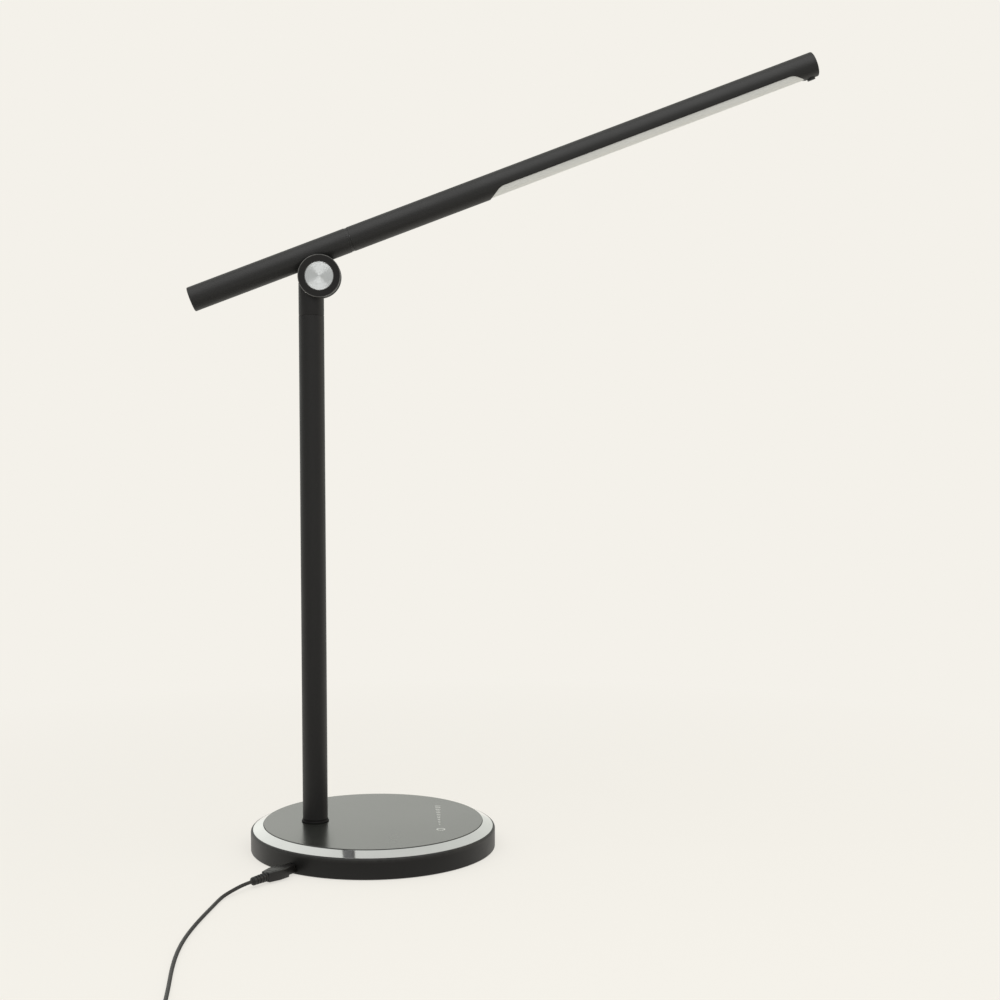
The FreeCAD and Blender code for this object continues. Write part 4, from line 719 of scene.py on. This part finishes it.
class LAMP_OT_cord(Operator):
    """Build the free cord and its put-away coil as one smooth line"""
    bl_idname = "lamp.cord"
    bl_label = "Cord"

    def execute(self, context):
        points = np.concatenate((CORD_START[None], self.lead(), self.coil()))
        line = bpy.data.curves.new("power_cord", "CURVE")
        line.dimensions = "3D"
        line.bevel_depth, line.bevel_resolution = sizes().cord_radius, 5
        line.resolution_u = 6
        line.use_fill_caps = True
        spline = line.splines.new("NURBS")
        spline.points.add(len(points) - 1)
        weighted = np.concatenate((points * MM, np.ones((len(points), 1))), 1)
        spline.points.foreach_set("co", weighted.reshape(-1))
        spline.order_u = 3
        spline.use_endpoint_u = True
        spline.use_smooth = True
        jacket = coat("Cord jacket", finishes().cord_colour, 0.45, wear_and_highlight=0.0, grain=900.0, bump=0.15,
                      dust=0.06)
        line.materials.append(jacket)
        cord = bpy.data.objects.new("power_cord", line)
        context.scene.collection.objects.link(cord)
        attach(cord, "base")
        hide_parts("cord_lead", "cord_coil")
        return {"FINISHED"}

    def lead(self):
        """Points of the free cord from the strain relief to the coil."""
        return np.array(LEAD_ROUTE) + CORD_START * (1, 1, 0)

    def coil(self):
        """Points of the coil and its straight tail.

        The radius shrinks by a pitch a turn on the lower layer, turns back in half a turn while the height
        rises by a layer, and grows again on the upper layer. The points lie a little outside the line that
        the spline draws, by 1 / cos(half a step).
        """
        turns = np.arange(0, 2 * COIL_TURNS + 0.5 + 1e-9, 1 / COIL_STEPS)
        part = np.clip(turns - COIL_TURNS, 0, 0.5)
        inward = np.where(turns < COIL_TURNS, turns, np.where(
            part < 0.5, COIL_TURNS + part - 2 * part ** 2, 2 * COIL_TURNS + 0.5 - turns))
        radius = (COIL_RADIUS - COIL_PITCH * inward) / np.cos(np.pi / COIL_STEPS)
        height = COIL_LEVEL + COIL_LAYER * (3 - 4 * part) * (2 * part) ** 2
        angle = np.pi + 2 * np.pi * turns
        centre = CORD_START[:2] + COIL_CENTRE
        ring = np.stack((centre[0] + radius * np.cos(angle), centre[1] + radius * np.sin(angle), height), 1)
        tail = np.array((centre[0] + TAIL_LENGTH, centre[1] - COIL_RADIUS, COIL_LEVEL + COIL_LAYER))
        return np.concatenate((ring, tail[None]))


class LAMP_OT_plugs(Operator):
    """Build the power plug in the base and the far plug of the cord"""
    bl_idname = "lamp.plugs"
    bl_label = "Plugs"

    def execute(self, context):
        plastic = plug_coat()
        self.add_power_plug(plastic)
        self.add_far_plug(plastic)
        return {"FINISHED"}

    def add_power_plug(self, plastic):
        """Plug in the base: narrow nose, tapered grip with raised panels, and ribbed relief."""
        nose = moulded_bar([(PLUG_FACE, 3.7, 3.0), (GRIP_START + 2.4, 3.7, 3.0)], 0.9, 0.5)
        taper = [(GRIP_START, 5.8, 3.5), (GRIP_SHOULDER, 5.8, 3.5), (GRIP_END, 3.8, 3.4)]
        grip = moulded_bar(taper, 0.9, 0.6)
        panel = [(GRIP_START + 1.8, 3.9, 0.3), (GRIP_SHOULDER, 3.9, 0.3), (GRIP_END - 4.0, 2.8, 0.25)]
        panels = [moulded_bar(panel, 0.2, 0.2, shift=(0, 0, level)) for level in (3.35, -3.35)]
        piece("power_plug", [nose, grip] + panels, AT_PLUG, plastic, "base", ["plug_body"])
        ribs = self.ribs(GRIP_END, RELIEF_END - GRIP_END, 3.25, 2.95, 5)
        piece("power_relief", [turned(ribs, "x", False)], AT_PLUG, plastic, "base", ["plug_relief"])

    def add_far_plug(self, plastic):
        """Plug at the far end: moulding with raised panels and a plain tapered relief."""
        low, high = (np.array(corner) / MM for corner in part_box("usb_body"))
        middle, half = (low + high) / 2, (high - low) / 2
        at_far = (np.array((0, middle[1], middle[2])) * MM, FORWARD, ACROSS, UP)
        body = moulded_bar([(low[0], half[1], half[2]), (high[0], half[1], half[2])], 2.0, 1.4)
        panel = [(low[0] + 4, half[1] - 3.4, 0.4), (high[0] - 4, half[1] - 3.4, 0.4)]
        panels = [moulded_bar(panel, 0.3, 0.3, shift=(0, 0, side * (half[2] - 0.35))) for side in (1, -1)]
        piece("far_plug", [body] + panels, at_far, plastic, "base", ["usb_body"])
        start, finish = (corner[0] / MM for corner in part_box("usb_relief"))
        taper = [(0, start), (1.32, start, 0.05), (1.9, start + 3, 0.2), (2.6, finish), (0, finish)]
        piece("far_relief", [turned(taper, "x", False)], at_far, plastic, "base", ["usb_relief"])

    def ribs(self, start, length, first, last, count):
        """Profile of a ribbed taper: radius falls from rib to rib, with a groove after each."""
        pitch = length / count
        corners = [(0, start)]
        for rib in range(count):
            radius = first + (last - first) * rib / (count - 1)
            near, middle, far = start + pitch * rib, start + pitch * (rib + 0.6), start + pitch * (rib + 1)
            corners += [(radius, near, 0.2), (radius - 0.1, middle, 0.2)]
            if rib < count - 1:
                corners += [(radius - 0.6, middle, 0.1), (radius - 0.6, far, 0.1)]
            else:
                corners += [(1.3, far)]
        return corners + [(0, start + length)]


class LAMP_OT_base(Operator):
    """Build the base shell with its rounded edge"""
    bl_idname = "lamp.base"
    bl_label = "Base shell"

    def execute(self, context):
        radius = sizes().base_radius / MM
        inner, lip, lift = radius - 2.6, radius - 6.0, 0.3
        look = coat("Base coat", finishes().shell_colour, 0.42, worn_and_highlight=(0.06, 0.058, 0.055), wear_and_highlight=0.3,
                    Specular_IOR_Level=0.35)
        corners = [(lip, DECK_TOP), (radius, DECK_TOP, 1.64), (radius, lift, 0.45), (inner, lift, 0.2),
                   (inner, DECK_UNDER), (lip, DECK_UNDER)]
        piece("base_cup", [pierced(corners, DECK_HOLE, POST_AT[0] / MM, DECK_TOP, DECK_UNDER)], AT_BASE, look,
              "base", ["base_shell"])
        return {"FINISHED"}


class LAMP_OT_ring(Operator):
    """Build the polished sloping ring"""
    bl_idname = "lamp.ring"
    bl_label = "Polished ring"

    def execute(self, context):
        top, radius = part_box("trim_ring")[1][2] / MM, sizes().base_radius / MM - RING_INSET
        inner = radius - RING_WIDTH
        look = bare_metal("Polished ring", finishes().ring_colour, 0.06, spread=0.02, bump=0.02, lines=2500.0)
        corners = [(inner, DECK_TOP), (radius, DECK_TOP), (radius, DECK_TOP + 0.1, 0.04), (inner, top, 0.15)]
        piece("sloping_ring", [turned(corners)], AT_BASE, look, "base", ["trim_ring"])
        return {"FINISHED"}


class LAMP_OT_plate(Operator):
    """Build the touch plate and its printed touch marks"""
    bl_idname = "lamp.plate"
    bl_label = "Touch plate"

    def execute(self, context):
        top, radius = sizes().plate_top / MM, sizes().base_radius / MM - PLATE_INSET
        corners = [(radius - 0.9, top), (radius, top, 0.12), (radius, DECK_TOP)]
        piece("touch_plate", [pierced(corners, PLATE_HOLE, POST_AT[0] / MM, top, DECK_TOP)], AT_BASE,
              plate_coat(), "base", ["top_plate"])
        print_ink = coat("Touch marks", (0.62, 0.63, 0.60), 0.5, wear_and_highlight=0.0, tone=0.15, drift=900.0)
        piece("touch_marks", self.marks(top), AT_BASE, print_ink, "base")
        return {"FINISHED"}

    def marks(self, top):
        """Thin ring and a row of ticks that grow longer away from it."""
        ring_top, count, row_x = top + 0.03, 12, 48.5
        ring = turned([(2.2, top), (3.3, top), (3.3, ring_top), (2.2, ring_top)], shift=(49.0, -30.0, 0.0))
        ticks = [moulded_bar([(row_x - long / 2, 0.8, 0.02), (row_x + long / 2, 0.8, 0.02)], 0.015, 0.01,
                             shift=(0, place, top + 0.012))
                 for place, long in zip(np.linspace(-17.0, 38.0, count), np.linspace(1.0, 4.2, count))]
        return [ring] + ticks


class LAMP_OT_post(Operator):
    """Build the post: foot collar, tube and neck"""
    bl_idname = "lamp.post"
    bl_label = "Post"

    def execute(self, context):
        look, radius, broken = post_coat(), sizes().post_radius / MM, sizes().broken_edge / MM
        under = sizes().plate_top / MM + FOOT_GAP
        rest, top = under + FOOT_HEIGHT, HINGE[2] / MM - NECK_LENGTH
        piece("foot_collar", [self.foot(radius, under, rest)], AT_POST, foot_coat_with_painted_shade(), "post",
              ["post_foot"])
        inner = radius - TUBE_WALL
        tube = [(inner, rest), (radius, rest, broken), (radius, top, broken), (inner, top)]
        piece("post_pipe", [turned(tube)], AT_POST, look, "post", ["post_tube"])
        piece("hinge_neck", [self.stem(top, radius), self.tongue()], AT_POST, look, "post",
              ["neck"])
        return {"FINISHED"}

    def foot(self, radius, under, rest):
        """Foot: spindle through the deck, flared collar on the plate and seat inside the tube."""
        bore, spindle, spindle_end = 1.8, 5.0, 4.6
        flare, seat, seat_top = radius + 0.9, radius - 1.25, rest + 26.0
        return turned([
            (bore, spindle_end), (spindle, spindle_end, 0.3), (spindle, under), (flare, under, 0.1),
            (flare, under + 0.4, 0.15), (radius + 0.3, under + 1.3, 0.8), (radius, rest, 0.05),
            (seat, rest), (seat, seat_top), (bore, seat_top)])

    def stem(self, bottom, radius):
        """Neck: rings of the tube's radius up to a hollow that follows the barrel.

        The upper edge's height at x is the lower of a flat top and
        hinge height - sqrt(hollow radius^2 - (x - hinge x)^2).
        """
        hinge_x, hinge_z = (HINGE[0] - POST_AT[0]) / MM, HINGE[2] / MM
        hollow_radius, flat_drop = BARREL_RADIUS + NECK_GAP, 4.5
        angles = round_angles()

        def ring(size, height):
            level = np.broadcast_to(height, angles.shape)
            return np.stack((size * np.cos(angles), size * np.sin(angles), level), -1)

        def hollow(size):
            across = size * np.cos(angles) - hinge_x
            drop = np.sqrt(np.maximum(hollow_radius ** 2 - across ** 2, 0))
            return hinge_z - np.maximum(drop, flat_drop)

        rows = [ring(0, bottom), ring(radius - 0.4, bottom), ring(radius - 0.1, bottom + 0.3),
                ring(radius, bottom + 0.5), ring(radius, hollow(radius) - 0.8),
                ring(radius, hollow(radius) - 0.25), ring(radius - 0.2, hollow(radius - 0.2))]
        rows += [ring(size, hollow(size)) for size in np.linspace(radius - 0.8, 0, 7)]
        marks = np.array([0, 1, 1, 0, 0, 1, 1] + [0] * 7, float)[:, None]
        return patch(np.stack(rows), marks, (False, True), False)

    def tongue(self):
        """Tongue between the barrel's cheeks, carried across y.

        Its outline is a half circle round the pin that runs down to a wider root.
        """
        hinge_x, hinge_z = (HINGE[0] - POST_AT[0]) / MM, HINGE[2] / MM
        eye, half_thick, root_z = 5.2, 4.4, hinge_z - 17.1
        arc = np.linspace(0, np.pi, 25)
        round_top = np.stack((hinge_x + eye * np.cos(arc), hinge_z + eye * np.sin(arc)), 1)
        root = np.array(((hinge_x - 10.4, root_z), (6.4, root_z)))
        outline = np.concatenate((round_top, root))
        sides = [np.stack((outline[:, 0], np.full(len(outline), half), outline[:, 1]), -1)
                 for half in (-half_thick, half_thick)]
        return patch(np.stack(sides))


class LAMP_OT_hinge(Operator):
    """Build the hinge barrel that carries the arm"""
    bl_idname = "lamp.hinge"
    bl_label = "Hinge barrel"

    def execute(self, context):
        # Painted highlight: the pale scuffed-edge colour on the barrel's rounded rim stands in for the rim's
        # thin light arc.
        look = coat("Barrel coat", (0.0090, 0.0082, 0.0075), 0.48, worn_and_highlight=(0.25, 0.245, 0.235), wear_and_highlight=0.7,
                    Specular_IOR_Level=0.35)
        piece("hinge_cheeks", [self.cheek(1), self.cheek(-1), self.web()], AT_HINGE, look, "arm",
              ["hinge_barrel"])
        return {"FINISHED"}

    def saddle(self, across):
        """Height of the saddle that the tube lies in, out of reach beside the tube.

        It is the tube's height over the pin - sqrt(saddle radius^2 - y^2).
        """
        bow = np.sqrt(np.maximum(SADDLE_RADIUS ** 2 - across ** 2, 0))
        return np.where(np.abs(across) < SADDLE_RADIUS, SADDLE_OVER - bow, 99.0)

    def cheek(self, side):
        """One cheek: a turned disc with a seat for the metal disc, its top cut to the saddle's height.

        The wall's rings crowd towards the saddle's edge.
        """
        rings = (5.5, 6.5, 7.5, 8.3, 8.8, 9.05, 9.14, 9.16, 9.6)
        profile = [(0, CHEEK_START), (BARREL_RADIUS - 0.3, CHEEK_START)]
        profile += [(BARREL_RADIUS, place) for place in rings]
        profile += [(BARREL_RADIUS, BARREL_HALF, 0.35), (DISC_SEAT_RADIUS, BARREL_HALF, 0.12),
                    (DISC_SEAT_RADIUS, DISC_SEAT), (0, DISC_SEAT)]
        made = turned(profile, "y", False)
        points = made["points"].copy()
        points[..., 2] = np.minimum(points[..., 2], self.saddle(points[..., 1]))
        return {**made, "points": points * (1, side, 1)}

    def web(self):
        """Web over the slot: between a flat and the saddle, its ends on the barrel's circle."""
        across = np.linspace(-CHEEK_START, CHEEK_START, 9)[:, None]
        steps = np.linspace(0, 1, 7)
        low, high = 5.7, self.saddle(across)
        rise = low + (high - low) * steps
        reach = np.sqrt(BARREL_RADIUS ** 2 - rise ** 2)
        x = np.concatenate((reach, -reach[:, ::-1]), 1)
        z = np.concatenate((rise, rise[:, ::-1]), 1)
        return patch(np.stack((x, np.broadcast_to(across, x.shape), z), -1))


class LAMP_OT_discs(Operator):
    """Build the spun metal discs in the barrel's ends"""
    bl_idname = "lamp.discs"
    bl_label = "Spun discs"

    def execute(self, context):
        look = bare_metal("Spun disc", finishes().disc_colour, 0.40, centre=tuple(HINGE),
                          flatten=(1.0, 0.0, 1.0), lines=9000.0, bump=0.5, spread=0.06, anisotropic=0.95)
        radius, face = DISC_SEAT_RADIUS - 0.1, DISC_SEAT + 1.2
        ends = (("front_disc", -1, "trim_disc_front"), ("rear_disc", 1, "trim_disc_rear"))
        for name, side, stood_for in ends:
            corners = [(0, side * DISC_SEAT), (radius, side * DISC_SEAT), (radius, side * face, 0.25),
                       (0, side * face)]
            piece(name, [turned(corners, "y", False)], AT_HINGE, look, "arm", [stood_for])
        return {"FINISHED"}


class LAMP_OT_rear(Operator):
    """Build the arm's rear tube, its cap and the ring in the roll seam"""
    bl_idname = "lamp.rear"
    bl_label = "Rear tube"

    def execute(self, context):
        look, radius = arm_coat(), sizes().arm_radius / MM
        inner = radius - TUBE_WALL
        spigot = inner - CAP_GAP
        start, seam = REAR_END + CAP_RIM, SEAM_AT - SEAM_HALF - SEAM_GAP
        inside = start + 8.0
        tube = [(inner, start), (radius, start, TUBE_END_ROUND), (radius, seam, SEAM_ROUND), (inner, seam)]
        piece("rear_pipe", [turned(tube, "x")], AT_ARM, look, "arm", ["rear_tube"])
        cap = [(0, REAR_END), (radius, REAR_END, 0.8), (radius, start, TUBE_END_ROUND), (spigot, start),
               (spigot, inside), (0, inside)]
        piece("rear_end", [turned(cap, "x", False)], AT_ARM, look, "arm", ["rear_cap"])
        coated = coat("Seam ring", finishes().tube_colour, 0.42, worn_and_highlight=(0.02, 0.02, 0.02))
        outer, near, far = radius - 0.25, SEAM_AT - SEAM_HALF, SEAM_AT + SEAM_HALF
        ring = [(inner, near), (outer, near, 0.08), (outer, far, 0.08), (inner, far)]
        piece("seam_ring", [turned(ring, "x")], AT_ARM, coated, "arm", ["roll_ring"])
        return {"FINISHED"}


def window_edge(gap, radii, count=12):
    """Places along the tube and the height of the window's edge there, a gap inside the window.

    The edge rises from the underside on a ramp, turns on an arc and runs level to the other end:
    z = (x - start) * tan(ramp) - r on the ramp, and level - corner * (1 - cos a) on the arc. Places crowd
    by a square towards the spots where the edge meets each of the given radii.
    """
    slope, radius = np.tan(WINDOW_RAMP), sizes().arm_radius / MM
    level = -WINDOW_DROP - gap
    begin = WINDOW_START + 2 * gap
    bend = begin + (radius + level) / slope + WINDOW_CORNER * np.tan(WINDOW_RAMP / 2)
    ramp_end = bend - WINDOW_CORNER * np.sin(WINDOW_RAMP)
    meets = [begin + (radius - size) / slope for size in radii]
    share = np.linspace(0, 1, count) ** 2
    ramp = np.unique(np.concatenate([meet + (ramp_end - meet) * share for meet in meets]).round(7))
    turn = np.linspace(WINDOW_RAMP, 0, 9)[1:]
    arc = bend - WINDOW_CORNER * np.sin(turn)
    places = np.concatenate((ramp, arc))
    heights = np.concatenate(((ramp - begin) * slope - radius, level - WINDOW_CORNER * (1 - np.cos(turn))))
    middle = np.linspace(bend, WINDOW_START + WINDOW_END - bend, 12)[1:-1]
    return (np.concatenate((places, middle, WINDOW_START + WINDOW_END - places[::-1]))[:, None],
            np.concatenate((heights, np.full(len(middle), level), heights[::-1]))[:, None])


class LAMP_OT_head(Operator):
    """Build the head tube with its long window, and the tip"""
    bl_idname = "lamp.head"
    bl_label = "Head tube"

    def execute(self, context):
        look, radius = arm_coat(), sizes().arm_radius / MM
        end, inner = TIP_END - CAP_RIM, radius - TUBE_WALL
        spigot, inside = inner - CAP_GAP, end - 6.0
        piece("head_pipe", self.tube(radius, inner, end), AT_ARM, look, "head",
              ["head_tube"])
        cap = [(0, inside), (spigot, inside), (spigot, end), (radius, end, TUBE_END_ROUND),
               (radius, TIP_END, 0.8), (0, TIP_END)]
        piece("head_tip", [turned(cap, "x", False)], AT_ARM, look, "head", ["head_cap"])
        return {"FINISHED"}

    def tube(self, radius, inner, end):
        """Tube: r (sin, cos) of an angle from the top, carried along it.

        Where the window is, the angle stops at arccos(edge height / r) each side, and a level strip joins
        the outer wall to the inner one.
        """
        share = np.linspace(-1, 1, sizes().facets + 1)
        places, edge = window_edge(0.0, (radius, inner))

        def wall(size, limit, along):
            angles = limit * share
            along = np.broadcast_to(along, angles.shape)
            return np.stack((along, size * np.sin(angles), size * np.cos(angles)), -1)

        def opening(size):
            return np.arccos(np.clip(edge / size, -1, 1))

        def full(corners):
            profile, marks = broken_corners(corners)
            limit = np.full((len(profile), 1), np.pi)
            return sheet(wall(profile[:, :1], limit, profile[:, 1:]), marks[:, None])

        def rim(side):
            half = side * np.sqrt(np.maximum(np.array((radius, inner)) ** 2 - edge ** 2, 0))
            return sheet(np.stack((np.broadcast_to(places, half.shape), half,
                                   np.broadcast_to(edge, half.shape)), -1))

        near = SEAM_AT + SEAM_HALF + SEAM_GAP
        rear = full([(inner, WINDOW_START), (inner, near), (radius, near, SEAM_ROUND),
                     (radius, WINDOW_START)])
        front = full([(radius, WINDOW_END), (radius, end, TUBE_END_ROUND), (inner, end), (inner, WINDOW_END)])
        walls = [sheet(wall(size, opening(size), places)) for size in (radius, inner)]
        return [rear, front] + walls + [rim(-1), rim(1)]


class LAMP_OT_diffuser(Operator):
    """Build the pale diffuser strip in the window"""
    bl_idname = "lamp.diffuser"
    bl_label = "Diffuser"

    def execute(self, context):
        look = coat("Frosted strip", finishes().diffuser_colour, 0.52, wear_and_highlight=0.0, tone=0.03, grain=3200.0,
                    bump=0.06, drift=14.0)
        piece("light_strip", [self.strip(), self.fill()], AT_ARM, look, "head", ["diffuser"])
        return {"FINISHED"}

    def swept(self, along, radius, angles):
        """Patch of points r (sin, -cos) of an angle from the bottom, at places along the tube."""
        along = np.broadcast_to(along, angles.shape)
        return patch(np.stack((along, radius * np.sin(angles), -radius * np.cos(angles)), -1))

    def strip(self):
        """Half shell under the axis.

        A loop along the strip and through its wall is swept by an angle about the bottom, whose limit at
        radius r is arccos(depth of the shell's edge / r).
        """
        outer, wall, edge_depth, steps = sizes().arm_radius / MM - 1.3, 1.2, 1.6, 9
        long = np.linspace(DIFFUSER_START, DIFFUSER_END, steps)
        radius = np.repeat((outer, outer - wall), steps)
        angles = np.linspace(-1, 1, 49)[:, None] * np.arccos(edge_depth / radius)
        return self.swept(np.concatenate((long, long[::-1])), radius, angles)

    def fill(self):
        """Raised face in the window.

        A loop of an outer arc and an arc inside the shell is carried along the window. The limit of both
        arcs is arccos(-edge height / outer radius).
        """
        outer, depth = sizes().arm_radius / MM - 0.8, 0.9
        places, edge = window_edge(0.1, (outer,))
        share = np.linspace(-1, 1, 49)
        limit = np.arccos(np.clip(-edge / outer, -1, 1))
        radius = np.repeat((outer, outer - depth), len(share))
        return self.swept(places, radius, limit * np.concatenate((share, share[::-1])))


class LAMP_OT_button(Operator):
    """Build the push button under the tip"""
    bl_idname = "lamp.button"
    bl_label = "Push button"

    def execute(self, context):
        look = coat("Button plastic", (0.010, 0.010, 0.0098), 0.40, worn_and_highlight=(0.08, 0.08, 0.08))
        stem, flange, cap, face = 1.5, 3.3, 3.0, -10.3
        corners = [(0, -5.9), (stem, -5.9, 0.1), (stem, -6.45), (flange, -6.45), (flange, -7.05),
                   (cap, -7.05), (cap, face, 0.35), (2.0, face, 0.5), (0, face + 0.2)]
        piece("push_button", [turned(corners, "z", False, (BUTTON_AT, 0, 0))], AT_ARM, look, "button",
              ["switch_button"])
        return {"FINISHED"}


class LAMP_OT_inner(Operator):
    """Give the pieces that stay as they are in the frame their finishes"""
    bl_idname = "lamp.inner"
    bl_label = "Inner pieces"

    def execute(self, context):
        jacket = coat("Jacket inside", finishes().cord_colour, 0.5, wear_and_highlight=0.0, grain=900.0, bump=0.15)
        green = coat("Green board", (0.010, 0.085, 0.035), 0.36, grain=700.0, bump=0.10)
        white = coat("White board", (0.70, 0.70, 0.68), 0.36, grain=900.0, bump=0.06, tone=0.05)
        chip = coat("Light chip", (0.80, 0.68, 0.25), 0.35, grain=2500.0, bump=0.10)
        rubber = coat("Rubber pad", (0.018, 0.018, 0.018), 0.85, grain=1100.0, bump=0.45)
        slippery = coat("Slip plastic", (0.55, 0.54, 0.50), 0.50, grain=1500.0, bump=0.08)
        black = coat("Black plastic", (0.011, 0.011, 0.0108), 0.46, grain=1400.0, bump=0.12)
        drawn = bare_metal("Drawn strip", (0.62, 0.63, 0.64), 0.38, flatten=(0.0, 1.0, 1.0), lines=2000.0)
        plated = bare_metal("Plug metal", (0.78, 0.78, 0.76), 0.20, flatten=(1.0, 0.0, 1.0), lines=1500.0)
        steel = bare_metal("Weight steel", (0.36, 0.36, 0.36), 0.45, lines=1500.0, spread=0.10)
        zinc = bare_metal("Zinc steel", (0.55, 0.56, 0.57), 0.34, lines=3000.0, spread=0.08)
        looks = {
            jacket: ("post_wire", "arm_wire"),
            green: ("control_board",),
            white: ("led_board",),
            chip: ("leds",),
            rubber: ("anti_slip_pad",),
            slippery: ("pivot_bush", "head_bush", "friction_washers"),
            black: ("bottom_cover", "power_socket", "push_switch", "cord_tie", "usb_tongue"),
            drawn: ("led_carrier",),
            plated: ("plug_tip", "usb_shell"),
            steel: ("base_weight",),
            zinc: ("weight_screws", "cover_screws", "spring_washer", "post_nut", "hinge_pin", "hinge_nut",
                   "saddle_plate", "saddle_screws", "roll_spigot", "roll_washer", "roll_nut"),
        }
        for look, names in looks.items():
            for name in names:
                NODES[name].data.materials.clear()
                NODES[name].data.materials.append(look)
        return {"FINISHED"}


OPERATORS = (
    LAMP_OT_stage, LAMP_OT_cord, LAMP_OT_plugs, LAMP_OT_base, LAMP_OT_ring, LAMP_OT_plate, LAMP_OT_post,
    LAMP_OT_hinge, LAMP_OT_discs, LAMP_OT_rear, LAMP_OT_head, LAMP_OT_diffuser, LAMP_OT_button,
    LAMP_OT_inner,
)


class LAMP_PT_panel(Panel):
    """Sidebar list of the lamp's steps and settings"""
    bl_idname = "LAMP_PT_panel"
    bl_label = "LED desk lamp"
    bl_space_type = "VIEW_3D"
    bl_region_type = "UI"
    bl_category = "Lamp"

    def draw(self, context):
        for group in (context.scene.lamp_sizes, context.scene.lamp_finish, context.scene.lamp_stage):
            box = self.layout.box()
            for name in group.__annotations__:
                box.prop(group, name)
        for operator in OPERATORS:
            self.layout.operator(operator.bl_idname)


GROUPS = {"lamp_sizes": LampSizes, "lamp_finish": LampFinish, "lamp_stage": LampStage}


def register():
    """Register the settings, the operators and the panel."""
    for cls in (*GROUPS.values(), *OPERATORS, LAMP_PT_panel):
        bpy.utils.register_class(cls)
    for name, group in GROUPS.items():
        setattr(bpy.types.Scene, name, PointerProperty(type=group))


def unregister():
    """Take them out again."""
    for name in GROUPS:
        delattr(bpy.types.Scene, name)
    for cls in (LAMP_PT_panel, *OPERATORS, *GROUPS.values()):
        bpy.utils.unregister_class(cls)


def main():
    """Build the lamp in order."""
    register()
    bpy.ops.lamp.stage()
    bpy.ops.lamp.cord()
    bpy.ops.lamp.plugs()
    bpy.ops.lamp.base()
    bpy.ops.lamp.ring()
    bpy.ops.lamp.plate()
    bpy.ops.lamp.post()
    bpy.ops.lamp.hinge()
    bpy.ops.lamp.discs()
    bpy.ops.lamp.rear()
    bpy.ops.lamp.head()
    bpy.ops.lamp.diffuser()
    bpy.ops.lamp.button()
    bpy.ops.lamp.inner()
    bpy.context.view_layer.update()


if __name__ == "__main__":
    main()
